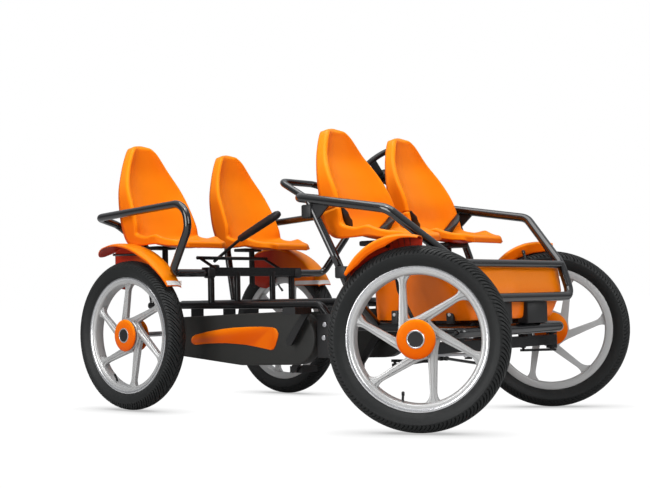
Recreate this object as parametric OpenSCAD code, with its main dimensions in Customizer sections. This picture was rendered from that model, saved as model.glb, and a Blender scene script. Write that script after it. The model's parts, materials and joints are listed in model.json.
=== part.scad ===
// Four-seat pedal kart with a welded tube chassis, cast wheels and moulded seats.
// The front wheels stand turned to the left and every moving joint is at its rest position.
// X points forward, Y to the left and Z up. The wheels stand on Z = 0. Sizes are in millimetres.

/* [Wheels] */
// Radius of the rim lip
rim_r = 227; // [200:1:236]
// How far the tyre stands out from the rim lip
tyre_rise = 63; // [54:1:68]
// Width of the tyre section
tyre_w = 80; // [66:1:84]
// Half width of the rim over its lips
rim_half = 25; // [22:1:28]
// Number of spokes in the casting
spokes = 6; // [4:1:8]
// How far each spoke runs beside the wheel centre
spoke_offset = 45; // [30:1:50]
// Spoke width at the hub
spoke_root_w = 30; // [22:1:36]
// Spoke width at the rim
spoke_tip_w = 20; // [14:1:26]
// Radius of the hub disc that carries the spokes
hub_r = 62; // [58:1:70]
// Radius of the hub covers
cap_r = 62; // [58:1:66]
// Radius of the stub axles and the rear axle
axle_r = 10; // [8:0.5:12]

/* [Steering] */
// Distance between the rear axle and the kingpins
wheelbase = 1372; // [1340:1:1400]
// Half the distance between the two kingpins
kingpin_y = 396; // [390:1:404]
// Distance from a kingpin to the middle of its wheel
scrub = 85; // [84:1:92]
// How far the right front wheel is turned to the left
turn_r = 24.5; // [20:0.5:26]
// How far the left front wheel is turned to the left
turn_l = 32; // [28:0.5:33]
// Length of the steering arms on the two knuckles
arm_len = 110; // [100:1:116]
// Inward lean of the steering arms with the wheels straight
arm_lean = 20; // [15:0.5:24]
// Pivot of the bell crank behind the front axle beam
bell_back = 100; // [98:1:104]
// Length of the arm that the drag link pushes
drag_len = 62; // [56:1:66]
// Lean of the upper steering column from the vertical
column_lean = 45; // [42:1:47]
// Outer radius of the steering wheel
hand_r = 163; // [150:1:170]
// Radial running clearance of every bearing
play = 0.05; // [0.02:0.01:0.08]

/* [Chassis] */
// Half the distance between the rear wheels
rear_track = 443.5; // [440:0.5:450]
// Radius of the surround rail and the foot bar
rail_r = 16; // [14:0.5:17]
// Radius of the main chassis tubes
frame_r = 17; // [15:0.5:18]
// Radius of the carrier tubes above the chain guards
carrier_r = 14; // [12:0.5:15]
// Radius of the armrest tubes
arm_r = 15; // [13:0.5:16]
// Side position of the carrier tubes
carrier_y = 232; // [230:1:234]
// Height of the rear part of the chassis
deck_z = 402; // [400:1:406]
// Side position of the surround rail
rail_y = 428; // [424:1:430]
// Height of the bumper tube
bumper_z = 426; // [420:1:430]

/* [Seats] */
// Side position of the seats
seat_y = 242; // [238:1:246]
// Side position of the front seats
front_seat_y = 218; // [216:1:220]
// Rear seats, distance ahead of the rear axle
rear_seat_x = 0; // [-6:1:6]
// Front seats, distance ahead of the rear axle
front_seat_x = 975; // [970:1:980]
// Seat height of the rear seats above the ground at the hip
rear_seat_z = 643; // [638:1:650]
// Seat height of the front seats above the ground at the hip
front_seat_z = 625; // [622:1:630]
// Thickness of the moulded seat shell
seat_t = 6; // [4:0.5:9]

/* [Cranks] */
// Distance of the crank axis ahead of the rear axle
crank_x = 715; // [710:1:722]
// Height of the crank axis
crank_z = 268; // [264:1:272]
// Length of a crank arm
crank_len = 140; // [120:1:144]
// Angle of the outer crank arms above the forward direction
crank_angle = 52; // [0:1:360]

/* [Hidden] */
$fn = 64;

ORANGE = [0.94, 0.42, 0.05];
BLACK = [0.07, 0.07, 0.08];
RUBBER = [0.05, 0.05, 0.055];
SILVER = [0.75, 0.75, 0.77];
GREY = [0.16, 0.16, 0.16];

// Sizes of the tyre and the rim that follow from the rim lip
tyre_r = rim_r + tyre_rise;
tyre_h = tyre_rise + 13;
rim_inner_r = rim_r - 28;
// Height of the axles in the drawing, before the kart is lifted to stand on its tyres
axle_z = 290;

// Wheel centres and the shift that puts the origin under the middle of the kart
tyre_rc = tyre_r - tyre_h / 2;
fr_c = [wheelbase + scrub * sin(turn_r), -kingpin_y - scrub * cos(turn_r), axle_z];
fl_c = [wheelbase - scrub * sin(turn_l), kingpin_y + scrub * cos(turn_l), axle_z];
x_front = fr_c[0] + tyre_rc * cos(turn_r)
  + sqrt(pow(tyre_h / 2 * cos(turn_r), 2) + pow(tyre_w / 2 * sin(turn_r), 2));
shift_x = (tyre_r - x_front) / 2;

// Steering points
arm_a_r = 180 - arm_lean + turn_r;
arm_a_l = 180 + arm_lean + turn_l;
drag_a = (turn_r + turn_l) / 2;
bell_p = [wheelbase - bell_back, 0];
plate_z = 212;
plate_t = 8;
// Heights of the three rods, so that they cross without touching
eye_z_r = plate_z - 12;
eye_z_l = plate_z + plate_t + 12;
drag_z = eye_z_r - 20;
eye_h = 14;
eye_r = 10;
pin_r = 5;
ball_r = 10;
pitman_x = 920;
steer_y = carrier_y + carrier_r + 16;
ujoint_low_z = 500;
ujoint_top = [840, steer_y, 758];
hand_c = ujoint_top + 191 * [-sin(column_lean), 0, cos(column_lean)];
axle_z0 = 236;
axle_z1 = 272;

// Frame points
cross_x = 876;
cross_z = 767;
leg_y = 408;
leg_x = 1393;
leg_z = 536;
bumper_x = 1455;
bar_z = 304;
bar_x = 1450;
beam_x = 236;
beam_z = 531;
front_rail_y = 215;
front_rail_z = 318;
guard_y0 = carrier_y + 6;
guard_y1 = guard_y0 + 44;

// How far a straight length of tube reaches into a bend
lap = 1;

function unit(v) = v / norm(v);
function end2(p, len, a) = [p[0] + len * cos(a), p[1] + len * sin(a)];

// A straight bar between two points
module rod(a, b, r) {
  d = b - a;
  len = norm(d);
  tilt = acos(d[2] / len);
  turn = atan2(d[1], d[0]);
  translate(a)
    rotate([0, tilt, turn])
      cylinder(h = len, r = r);
}

// The quarter of a ring that joins two straight lengths of a bent tube
module elbow(p, a, b, r, bend) {
  c = a * b;
  phi = acos(max(-1, min(1, c)));
  t = bend * tan(phi / 2);
  n = unit(b - c * a);
  ez = cross(a, n);
  o = p - a * t + n * bend;
  multmatrix([
    [-n[0], a[0], ez[0], o[0]],
    [-n[1], a[1], ez[1], o[1]],
    [-n[2], a[2], ez[2], o[2]],
    [0, 0, 0, 1]])
    rotate_extrude(angle = phi)
      translate([bend, 0])
        circle(r = r);
}

function bend_cut(p, i, bend) =
  let (a = unit(p[i] - p[i - 1]), b = unit(p[i + 1] - p[i]))
  bend * tan(acos(max(-1, min(1, a * b))) / 2);

// A tube bent round every inner point of a path. Straight lengths reach a little into each bend.
module bent_tube(p, r, bend) {
  n = len(p);
  for (i = [0 : n - 2]) {
    d = unit(p[i + 1] - p[i]);
    s = i == 0 ? 0 : bend_cut(p, i, bend) - lap;
    e = i == n - 2 ? 0 : bend_cut(p, i + 1, bend) - lap;
    rod(p[i] + d * s, p[i + 1] - d * e, r);
  }
  for (i = [1 : 1 : n - 2])
    elbow(p[i], unit(p[i] - p[i - 1]), unit(p[i + 1] - p[i]), r - 0.1, bend);
}

// A tube bent round every point of a closed loop
module bent_loop(p, r, bend) {
  n = len(p);
  for (i = [0 : n - 1]) {
    q = [p[(i + n - 1) % n], p[i], p[(i + 1) % n], p[(i + 2) % n]];
    d = unit(q[2] - q[1]);
    rod(q[1] + d * (bend_cut(q, 1, bend) - lap), q[2] - d * (bend_cut(q, 2, bend) - lap), r);
    elbow(q[1], unit(q[1] - q[0]), unit(q[2] - q[1]), r - 0.1, bend);
  }
}

// Moves everything from the rear axle to the middle of the kart
module kart() {
  translate([shift_x, 0, tyre_r - axle_z])
    children();
}

// Makes a copy on the other side of the kart
module both() {
  children();
  mirror([0, 1, 0])
    children();
}

// Turns the outward side of a wheel to the right or left side of the kart
module wheel_place(c, side, turn) {
  kart()
    translate(c)
      rotate([0, 0, turn])
        rotate([side < 0 ? 90 : -90, 0, 0])
          children();
}

// The tyre section, outside of the rim
module tyre_section() {
  k = 9;
  outer = [for (i = [0 : k]) let (a = -62 + 124 * i / k)
    [tyre_rc + tyre_h / 2 * cos(a), tyre_w / 2 * sin(a) / sin(62)]];
  polygon(concat([[rim_r - 8, -rim_half + 3]], outer, [[rim_r - 8, rim_half - 3]]));
}

module tyre() {
  difference() {
    rotate_extrude($fn = 72)
      tyre_section();
    rim(play);
  }
}

// The rim channel with its two lips, grown by g on the side of the tyre
module rim(g = 0) {
  h = rim_half + g;
  rotate_extrude($fn = 96)
    polygon([[rim_inner_r, -h + 4], [rim_inner_r + 4, -h], [rim_r + g - 2, -h], [rim_r + g, -h + 2],
      [rim_r + g - 2, -h + 5 + 2 * g], [rim_r + g - 8, -h + 6 + 2 * g], [rim_r + g - 14, -h + 16 + 2 * g],
      [rim_r + g - 14, h - 16 - 2 * g], [rim_r + g - 8, h - 6 - 2 * g], [rim_r + g - 2, h - 5 - 2 * g],
      [rim_r + g, h - 2], [rim_r + g - 2, h], [rim_inner_r + 4, h], [rim_inner_r, h - 4]]);
}

// One spoke runs beside the wheel centre and widens where it meets the hub and the rim
module spoke() {
  y1 = sqrt(pow(rim_inner_r + 3, 2) - pow(spoke_offset, 2));
  translate([0, 0, -11])
    linear_extrude(22)
      polygon([[-spoke_offset - spoke_root_w / 2, 0], [-spoke_offset + spoke_root_w / 2, 0],
        [-spoke_offset + spoke_tip_w / 2, y1 - 22], [-spoke_offset + spoke_tip_w / 2 + 9, y1],
        [-spoke_offset - spoke_tip_w / 2 - 9, y1], [-spoke_offset - spoke_tip_w / 2, y1 - 22]]);
  translate([-spoke_offset, 0, 0])
    linear_extrude(15)
      polygon([[-5, 20], [5, 20], [3.5, y1 - 4], [-3.5, y1 - 4]]);
}

module casting() {
  difference() {
    union() {
      rim();
      for (i = [0 : spokes - 1])
        rotate(i * 360 / spokes)
          spoke();
      translate([0, 0, -14])
        cylinder(h = 32, r = hub_r - 2);
      translate([0, 0, -33])
        cylinder(h = 60, r = 26);
    }
    translate([0, 0, -40])
      cylinder(h = 80, r = axle_r + play);
  }
}

// The outer hub cover and the ring on the inner side
module cap() {
  rotate_extrude()
    polygon([[0, 27], [cap_r - 3, 27], [cap_r, 29], [cap_r, 31], [cap_r - 4, 35], [30, 38], [0, 38]]);
  translate([0, 0, -38])
    difference() {
      cylinder(h = 5, r = cap_r);
      translate([0, 0, -1])
        cylinder(h = 7, r = axle_r + 8);
    }
}

module tyre_rr() color(RUBBER) wheel_place([0, -rear_track, axle_z], -1, 0) tyre();
module tyre_rl() color(RUBBER) wheel_place([0, rear_track, axle_z], 1, 0) tyre();
module tyre_fr() color(RUBBER) wheel_place(fr_c, -1, turn_r) tyre();
module tyre_fl() color(RUBBER) wheel_place(fl_c, 1, turn_l) tyre();
module wheel_rr() color(SILVER) wheel_place([0, -rear_track, axle_z], -1, 0) rotate(-10) casting();
module wheel_rl() color(SILVER) wheel_place([0, rear_track, axle_z], 1, 0) rotate(20) casting();
module wheel_fr() color(SILVER) wheel_place(fr_c, -1, turn_r) casting();
module wheel_fl() color(SILVER) wheel_place(fl_c, 1, turn_l) rotate(12) casting();
module cap_rr() color(ORANGE) wheel_place([0, -rear_track, axle_z], -1, 0) cap();
module cap_rl() color(ORANGE) wheel_place([0, rear_track, axle_z], 1, 0) cap();
module cap_fr() color(ORANGE) wheel_place(fr_c, -1, turn_r) cap();
module cap_fl() color(ORANGE) wheel_place(fl_c, 1, turn_l) cap();

// A flat arm between two points at one height
module flat_arm(a, b, z, t, ra, rb) {
  translate([0, 0, z])
    linear_extrude(t)
      hull() {
        translate(a)
          circle(r = ra, $fn = 32);
        translate(b)
          circle(r = rb, $fn = 32);
      }
}

// Kingpin, stub axle and steering arm in one forging
module knuckle(side, turn, arm_a) {
  k = [wheelbase, side * kingpin_y];
  e = end2(k, arm_len, arm_a);
  kart() {
    translate([k[0], k[1], plate_z])
      cylinder(h = axle_z1 + 4 - plate_z, r = 8);
    translate([k[0], k[1], axle_z1 + 2])
      cylinder(h = 36, r = 20);
    translate([k[0], k[1], axle_z])
      rotate([0, 0, turn])
        rotate([side < 0 ? 90 : -90, 0, 0])
          cylinder(h = scrub + 25, r = axle_r);
    flat_arm(k, e, plate_z, plate_t, 17, 12);
    arm_pin(e, side < 0 ? eye_z_r : eye_z_l);
  }
}

// The pin through the eye of a rod above or below the steering arms
module arm_pin(e, z) {
  low = z < plate_z ? z - eye_h / 2 - 1 : plate_z + plate_t - 1;
  high = z < plate_z ? plate_z + 1 : z + eye_h / 2 + 1;
  translate([e[0], e[1], low])
    cylinder(h = high - low, r = pin_r);
}

module knuckle_r() color(BLACK) knuckle(-1, turn_r, arm_a_r);
module knuckle_l() color(BLACK) knuckle(1, turn_l, arm_a_l);

// A steering rod with an eye at each end
module link(a, b, z, r) {
  p = [a[0], a[1], z];
  q = [b[0], b[1], z];
  kart()
    difference() {
      union() {
        rod(p + unit(q - p) * (eye_r - 3), q - unit(q - p) * (eye_r - 3), r);
        for (c = [p, q])
          translate([c[0], c[1], z - eye_h / 2])
            cylinder(h = eye_h, r = eye_r);
      }
      for (c = [p, q])
        translate([c[0], c[1], z - eye_h])
          cylinder(h = 2 * eye_h, r = pin_r + play);
    }
}

module tie_rod_r() color(BLACK)
  link(end2([wheelbase, -kingpin_y], arm_len, arm_a_r), end2(bell_p, arm_len, arm_a_r), eye_z_r, 5.5);
module tie_rod_l() color(BLACK)
  link(end2([wheelbase, kingpin_y], arm_len, arm_a_l), end2(bell_p, arm_len, arm_a_l), eye_z_l, 5.5);
module drag_link() color(BLACK)
  link(end2([pitman_x, steer_y], drag_len, drag_a), end2(bell_p, drag_len, drag_a), drag_z, 5.5);

// The plate that shares the drag link's push between both tie rods
module bell_crank() color(SILVER) kart() {
  ends = [end2(bell_p, arm_len, arm_a_r), end2(bell_p, arm_len, arm_a_l)];
  d = end2(bell_p, drag_len, drag_a);
  difference() {
    union() {
      for (e = ends)
        flat_arm(bell_p, e, plate_z, plate_t, 20, 13);
      flat_arm(bell_p, d, plate_z, plate_t, 20, 13);
      translate([bell_p[0], bell_p[1], plate_z - 4])
        cylinder(h = plate_t + 12, r = 16);
    }
    translate([bell_p[0], bell_p[1], plate_z - 20])
      cylinder(h = 60, r = 7 + play);
  }
  arm_pin(ends[0], eye_z_r);
  arm_pin(ends[1], eye_z_l);
  arm_pin(d, drag_z);
}

// Upright shaft with the arm that pushes the drag link and the cup of the lower joint
module pitman_shaft() color(BLACK) kart() {
  d = end2([pitman_x, steer_y], drag_len, drag_a);
  difference() {
    union() {
      translate([pitman_x, steer_y, plate_z])
        cylinder(h = ujoint_low_z - plate_z - 12, r = 9);
      translate([pitman_x, steer_y, ujoint_low_z - 22])
        cylinder(h = 22, r = 14);
    }
    translate([pitman_x, steer_y, ujoint_low_z])
      sphere(r = ball_r + 0.3);
  }
  flat_arm([pitman_x, steer_y], d, plate_z, plate_t, 16, 12);
  arm_pin(d, drag_z);
}

// Slanting shaft with the balls of both joints
module middle_shaft() color(BLACK) kart() {
  a = [pitman_x, steer_y, ujoint_low_z];
  rod(a, ujoint_top, 7);
  translate(a)
    sphere(r = ball_r);
  translate(ujoint_top)
    sphere(r = ball_r);
}

// Upper column with the cup of the upper joint
module steering_column() color(BLACK) kart() {
  u = unit(hand_c - ujoint_top);
  difference() {
    union() {
      rod(ujoint_top, ujoint_top + u * 24, 14);
      rod(ujoint_top + u * 20, hand_c - u * 10, 9);
    }
    translate(ujoint_top)
      sphere(r = ball_r + 0.3);
  }
}

// Thin ring with three flat spokes and a hub
module steering_wheel() color(BLACK) kart()
  translate(hand_c)
    rotate([0, -column_lean, 0]) {
      rotate_extrude()
        translate([hand_r - 11, 0])
          circle(r = 11, $fn = 32);
      difference() {
        for (a = [60, 180, 300])
          rotate(a)
            translate([20, -14, -5])
              cube([hand_r - 31, 28, 8]);
        rotate_extrude()
          translate([hand_r - 11, 0])
            circle(r = 10.9, $fn = 32);
      }
      translate([0, 0, -10])
        cylinder(h = 22, r = 34);
    }

// Crank arms, axle and chain wheel on one side
module crank() {
  kart()
    translate([crank_x, 0, crank_z])
      rotate([90, 0, 0])
        rotate(crank_angle) {
          translate([0, 0, 190])
            cylinder(h = 122, r = 8);
          translate([0, 0, 300])
            flat_arm([0, 0], [crank_len, 0], 0, 12, 16, 12);
          translate([0, 0, 190])
            flat_arm([0, 0], [-crank_len, 0], 0, 12, 16, 12);
          translate([0, 0, guard_y1 - 13])
            cylinder(h = 3, r = 78);
        }
}

// Platform pedals at the ends of both crank arms
module pedals() {
  a = [crank_len * cos(crank_angle), crank_len * sin(crank_angle)];
  kart()
    translate([crank_x, 0, crank_z])
      rotate([90, 0, 0]) {
        translate([a[0], a[1], 312])
          pedal_block();
        translate([-a[0], -a[1], 190])
          mirror([0, 0, 1])
            pedal_block();
      }
}

module pedal_block() {
  cylinder(h = 8, r = 7);
  difference() {
    translate([-30, -12, 6])
      cube([60, 24, 86]);
    for (s = [-1, 1])
      translate([s * 15 - 8, -13, 16])
        cube([16, 26, 66]);
  }
}

module crank_r() color(GREY) crank();
module crank_l() color(GREY) mirror([0, 1, 0]) crank();
module pedals_r() color(BLACK) pedals();
module pedals_l() color(BLACK) mirror([0, 1, 0]) pedals();

// Path of the inner main tube, which widens under the tub
function main_path() = [[-130, -55, deck_z], [850, -55, deck_z], [1010, -front_rail_y, front_rail_z],
  [bar_x - rail_r / 2, -front_rail_y, front_rail_z]];
// Path of the carrier tube above a chain guard
function carrier_path() = [[-130, -carrier_y, deck_z], [800, -carrier_y, deck_z - 6],
  [868, -carrier_y, front_rail_z], [1030, -front_rail_y, front_rail_z]];

// Welded lower chassis with crank bearings and rear axle plates
module main_frame() color(BLACK) kart()
  difference() {
    union() {
      both() {
        bent_tube(main_path(), frame_r, 70);
        bent_tube(carrier_path(), carrier_r, 40);
        translate([-34, -96, axle_z - 24])
          cube([68, 8, deck_z - axle_z + 24]);
        translate([-34, -carrier_y - 4, axle_z - 24])
          cube([68, 8, deck_z - axle_z + 24]);
        translate([crank_x - 26, -carrier_y, crank_z])
          cube([52, 10, deck_z - crank_z]);
        translate([crank_x, -carrier_y + 16, crank_z])
          rotate([90, 0, 0])
            cylinder(h = 46, r = 19);
      }
      for (x = [0, 246])
        rod([x, -carrier_y, deck_z], [x, carrier_y, deck_z], 14);
      rod([1060, -front_rail_y, front_rail_z], [1060, front_rail_y, front_rail_z], 14);
      translate([pitman_x, steer_y, front_rail_z - 20])
        cylinder(h = 44, r = 18);
      translate([pitman_x - 10, carrier_y - 8, front_rail_z - 10])
        cube([20, steer_y - carrier_y, 20]);
    }
    both()
      translate([crank_x, 0, crank_z])
        rotate([90, 0, 0])
          cylinder(h = 400, r = 8 + play);
    rear_axle_bar();
    translate([pitman_x, steer_y, front_rail_z - 40])
      cylinder(h = 90, r = 9 + play);
    front_bar_low();
  }

module rear_axle_bar()
  rod([0, -rear_track - 25, axle_z], [0, rear_track + 25, axle_z], axle_r);

module rear_axle() color(SILVER) kart() {
  difference() {
    union() {
      rear_axle_bar();
      rod([0, -carrier_y + 40, axle_z], [0, -carrier_y + 70, axle_z], 52);
    }
    both()
      translate([-40, -carrier_y - 4, axle_z - 60])
        cube([80, 8, 30]);
  }
}

// Beam with kingpin bosses, tube pads and the bell crank pin
module front_axle() color(BLACK) kart()
  difference() {
    union() {
      translate([wheelbase - 20, -kingpin_y, axle_z0])
        cube([40, 2 * kingpin_y, axle_z1 - axle_z0]);
      both() {
        translate([wheelbase, -kingpin_y, plate_z + plate_t + 2])
          cylinder(h = axle_z1 - plate_z - plate_t - 2, r = 20);
        translate([wheelbase - 20, -front_rail_y - 16, axle_z1 - 1])
          cube([40, 32, front_rail_z - axle_z1]);
      }
      translate([bell_p[0] - 18, -18, axle_z1 - 18])
        cube([bell_back, 36, 18]);
      translate([bell_p[0], 0, plate_z - 12])
        cylinder(h = axle_z1 - plate_z, r = 7);
      translate([bell_p[0], 0, plate_z - 12])
        cylinder(h = 6, r = 13);
    }
    both() {
      translate([wheelbase, -kingpin_y, 100])
        cylinder(h = 300, r = 8 + play);
      bent_tube(main_path(), frame_r, 70);
    }
  }

module seat_beam()
  translate([beam_x - 17, -268, beam_z - 17])
    cube([34, 536, 34]);

// Cross beam and uprights that carry the rear seats
module rear_seat_frame() color(BLACK) kart()
  difference() {
    union() {
      seat_beam();
      both() {
        rod([beam_x - 4, -carrier_y, deck_z], [beam_x - 4, -carrier_y, beam_z], 13);
        rod([beam_x + 10, -101, deck_z], [beam_x + 10, -101, beam_z], 12);
      }
      rod([120, -200, 590], [120, 200, 590], 7);
      both()
        rod([beam_x, -186, beam_z], [120, -186, 590], 6);
    }
    both()
      bent_tube(carrier_path(), carrier_r, 40);
    rod([246, -carrier_y, deck_z], [246, carrier_y, deck_z], 14);
  }

function armrest_path() = [[beam_x, -250, beam_z], [beam_x + 26, -440, beam_z + 29], [340, -462, 690],
  [318, -462, 776], [-176, -458, 757], [-215, -330, 735], [-150, -232, 640], [-110, -carrier_y, deck_z]];

// Loops beside the rear seats that run down behind them to the chassis
module armrests() color(BLACK) kart()
  difference() {
    both()
      bent_tube(armrest_path(), arm_r, 40);
    both()
      bent_tube(carrier_path(), carrier_r, 40);
    seat_beam();
  }

function rail_loop() = [[cross_x, -rail_y, cross_z], [1260, -rail_y, 715], [leg_x, -leg_y, leg_z],
  [bumper_x, -396, bumper_z], [bumper_x, 396, bumper_z], [leg_x, leg_y, leg_z], [1260, rail_y, 715],
  [cross_x, rail_y, cross_z]];

// The closed tube loop round the front seats
module rail_tube() bent_loop(rail_loop(), rail_r, 55);
module surround_rail() color(BLACK) kart() rail_tube();

function post_path() = [[968, -rail_y, 756], [1006, -404, 583], [1046, -352, 430],
  [1052, -front_rail_y, front_rail_z]];

// Bent posts between the surround rail and the chassis
module posts() both() bent_tube(post_path(), 14, 45);
module rail_posts() color(BLACK) kart()
  difference() {
    posts();
    rail_tube();
    both() {
      bent_tube(main_path(), frame_r, 70);
      bent_tube(carrier_path(), carrier_r, 40);
    }
    rod([1060, -front_rail_y, front_rail_z], [1060, front_rail_y, front_rail_z], 14);
  }

module front_bar_low()
  bent_tube([[1388, -348, bar_z], [bar_x, -330, bar_z], [bar_x, 330, bar_z], [1388, 348, bar_z]],
    rail_r, 40);

// The upper cross bar and the foot bar below it
module front_bars() color(BLACK) kart() {
  difference() {
    rod([leg_x, -leg_y, leg_z], [leg_x, leg_y, leg_z], 14);
    rail_tube();
  }
  front_bar_low();
}

// Box brackets between the foot bar and the bumper tube
module bumper_brackets() color(BLACK) kart()
  difference() {
    both()
      translate([1404, -198, bar_z])
        cube([53, 100, bumper_z - bar_z]);
    rail_tube();
    front_bar_low();
    both()
      translate([1440, -148, (bar_z + bumper_z) / 2])
        rotate([0, 90, 0])
          cylinder(h = 30, r = 4.5);
    both()
      translate([1398, -192, bar_z + 20])
        cube([53, 88, bumper_z - bar_z - 40]);
  }

// The bar behind the right front seat for the rear passenger's hands
module grab_handle() color(BLACK) kart()
  difference() {
    bent_tube([[cross_x, -350, cross_z], [700, -338, 842], [700, -138, 842], [cross_x, -126, cross_z]],
      12, 38);
    rail_tube();
  }

tub_floor_z = 340;
tub_rim_z = 556;
// Rim of the tub on one side, from the low front to the back, and the floor below it
function tub_top(t) = [[1399 - t, 301 - t, 440], [1370 - t, 341 - t, tub_rim_z - 22], [1236, 326 - t, tub_rim_z],
  [1100, 234 - t, tub_rim_z], [1000 + t, 224 - t, tub_rim_z]];
function tub_low(t, z) = [[1396 - t, 262 - t, z], [1370 - t, 262 - t, z], [1236, 262 - t, z], [1100, 196 - t, z],
  [1020 + t, 188 - t, z]];
function two_sides(p) = concat(p, [for (i = [len(p) - 1 : -1 : 0]) [p[i][0], -p[i][1], p[i][2]]]);

// Moulded tub between the front wheels, open to the top and low at the front
module tub() color(ORANGE) kart() {
  t = 5;
  loops = [two_sides(tub_low(0, tub_floor_z)), two_sides(tub_top(0)), two_sides(tub_top(t)),
    two_sides(tub_low(t, tub_floor_z + t))];
  n = len(loops[0]);
  polyhedron(points = concat(loops[0], loops[1], loops[2], loops[3]),
    faces = concat([[for (i = [0 : n - 1]) i]], [[for (i = [n - 1 : -1 : 0]) 3 * n + i]],
      [for (k = [0 : 2]) for (i = [0 : n - 1]) [k * n + i, k * n + n + i, k * n + n + (i + 1) % n]],
      [for (k = [0 : 2]) for (i = [0 : n - 1]) [k * n + i, k * n + n + (i + 1) % n, k * n + (i + 1) % n]]));
}

// Angle brackets that hold the tub on the chassis tubes
module tub_brackets() color(BLACK) kart()
  difference() {
    both()
      for (x = [1130, 1300])
        translate([x, -front_rail_y - 12, front_rail_z])
          cube([40, 24, tub_floor_z - front_rail_z]);
    both()
      bent_tube(main_path(), frame_r, 70);
  }

// Arched cross section of a fender, hollow side towards the axle
module fender_section(r, half, t) {
  big = 104;
  intersection() {
    translate([r - big, 0])
      difference() {
        circle(r = big + t, $fn = 120);
        circle(r = big, $fn = 120);
      }
    translate([r - 60, -half])
      square([120, 2 * half]);
  }
}

// A fender about an axle along Z, with both corners of its tail cut to a point
module fender(r, half, a0, a1, point) {
  difference() {
    rotate(a0)
      rotate_extrude(angle = a1 - a0, $fn = 96)
        fender_section(r, half, fender_t);
    for (s = [-1, 1])
      rotate(a1)
        translate([r, 0, s * half * 0.1])
          rotate([-s * point, 0, 0])
            translate([-80, -300, s > 0 ? 0 : -120])
              cube([160, 330, 120]);
    for (s = [-1, 1])
      rotate(a0)
        translate([r, 0, s * half * 0.7])
          rotate([s * 60, 0, 0])
            translate([-80, -30, s > 0 ? 0 : -120])
              cube([160, 330, 120]);
  }
}
fender_t = 4;
// Free height between a tyre and the fender above it
fender_gap = 36;
rear_fender_p = [-20, -rear_track, axle_z + 18];
rear_fender_r0 = tyre_r + fender_gap;
front_fender_r0 = tyre_r + fender_gap;
// How far a front fender stands outside the middle of its tyre
fender_out = 14;

module rear_fender_r()
  translate(rear_fender_p)
    rotate([90, 0, 0])
      fender(rear_fender_r0, 46, 33, 128, 30);
module rear_fenders() color(ORANGE) kart() both() rear_fender_r();

// A front fender turns with its wheel
module front_fender(side, c, turn) {
  kart()
    translate(c)
      rotate([0, 0, turn])
        translate([0, side * fender_out, 0])
          rotate([90, 0, 0])
            fender(front_fender_r0, 38, 83, 139, 55);
}
module fender_fr() color(ORANGE) front_fender(-1, fr_c, turn_r);
module fender_fl() color(ORANGE) front_fender(1, fl_c, turn_l);

// A bent bar from the head of a knuckle up to the underside of its fender
module fender_arm(side, turn) {
  kart()
    translate([wheelbase, side * kingpin_y, 0])
      rotate([0, 0, turn])
        difference() {
          intersection() {
            bent_tube([[-6, 0, axle_z + 4], [-74, side * 12, 440], [-92, side * 22, 578],
              [-96, side * (scrub + fender_out), 582], [-96, side * (scrub + fender_out), 660]], 6, 14);
            translate([0, 0, axle_z])
              rotate([90, 0, 0])
                cylinder(h = 900, r = front_fender_r0 - 0.2, center = true, $fn = 180);
          }
          translate([0, 0, axle_z1 - 30])
            cylinder(h = 68, r = 20);
          translate([0, 0, axle_z])
            rotate([side < 0 ? 90 : -90, 0, 0])
              cylinder(h = scrub, r = axle_r);
        }
}
module fender_arm_r() color(BLACK) fender_arm(-1, turn_r);
module fender_arm_l() color(BLACK) fender_arm(1, turn_l);

function rear_stay_path() = [[-64, -carrier_y, deck_z], [-64, -352, 440], [-64, -366, 590],
  [-64, -rear_track, 594], [-64, -rear_track, 700]];

// Thin bars from the chassis to the rear fenders
module fender_stays() color(BLACK) kart()
  both()
    difference() {
      intersection() {
        bent_tube(rear_stay_path(), 6, 18);
        translate(rear_fender_p)
          rotate([90, 0, 0])
            cylinder(h = 900, r = rear_fender_r0 - 0.2, center = true, $fn = 180);
      }
      bent_tube(carrier_path(), carrier_r, 40);
    }

// Seat form: points along the middle from behind the top of the back to the front of the base
seat_mid = [[-176, 384], [-166, 408], [-146, 415], [-132, 402], [-127, 372], [-112, 300], [-92, 220], [-66, 140],
  [-36, 70], [4, 18], [60, -8], [130, -14], [190, -6], [232, 4], [258, -2], [268, -20], [268, -34]];
// Half width of the seat at each of those points, without the rolled edge
seat_half = [38, 42, 42, 50, 80, 104, 118, 136, 160, 178, 182, 180, 172, 152, 122, 96, 90];
// How far the side edges stand up from the middle
seat_wing = [0, 0, 2, 6, 14, 24, 34, 44, 52, 52, 44, 32, 28, 26, 14, 4, 2];
// How far the rolled edge folds back
seat_fold = [2, 2, 10, 22, 32, 38, 42, 42, 36, 26, 20, 18, 16, 14, 8, 3, 2];
seat_roll = 12;

// The front seats have a more upright back
front_mid = concat([[-131, 366], [-121, 390], [-101, 397], [-89, 386], [-86, 360], [-78, 292], [-66, 216], [-52, 140],
  [-32, 72]], [for (k = [9 : 16]) seat_mid[k]]);
// Width of the front seats against the rear ones
front_seat_k = 0.89;
// Stations of the seat form where the front seats are split into back and base
front_split = [8, 9];

function mid_dir(mid, k) = let (n = len(mid), a = mid[max(0, k - 1)], b = mid[min(n - 1, k + 1)])
  (b - a) / norm(b - a);
// One point of a station: y to the side, h along the normal of the middle line
function seat_point(mid, k, y, h) = let (d = mid_dir(mid, k))
  [mid[k][0] - d[1] * h, y, mid[k][1] + d[0] * h];
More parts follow.
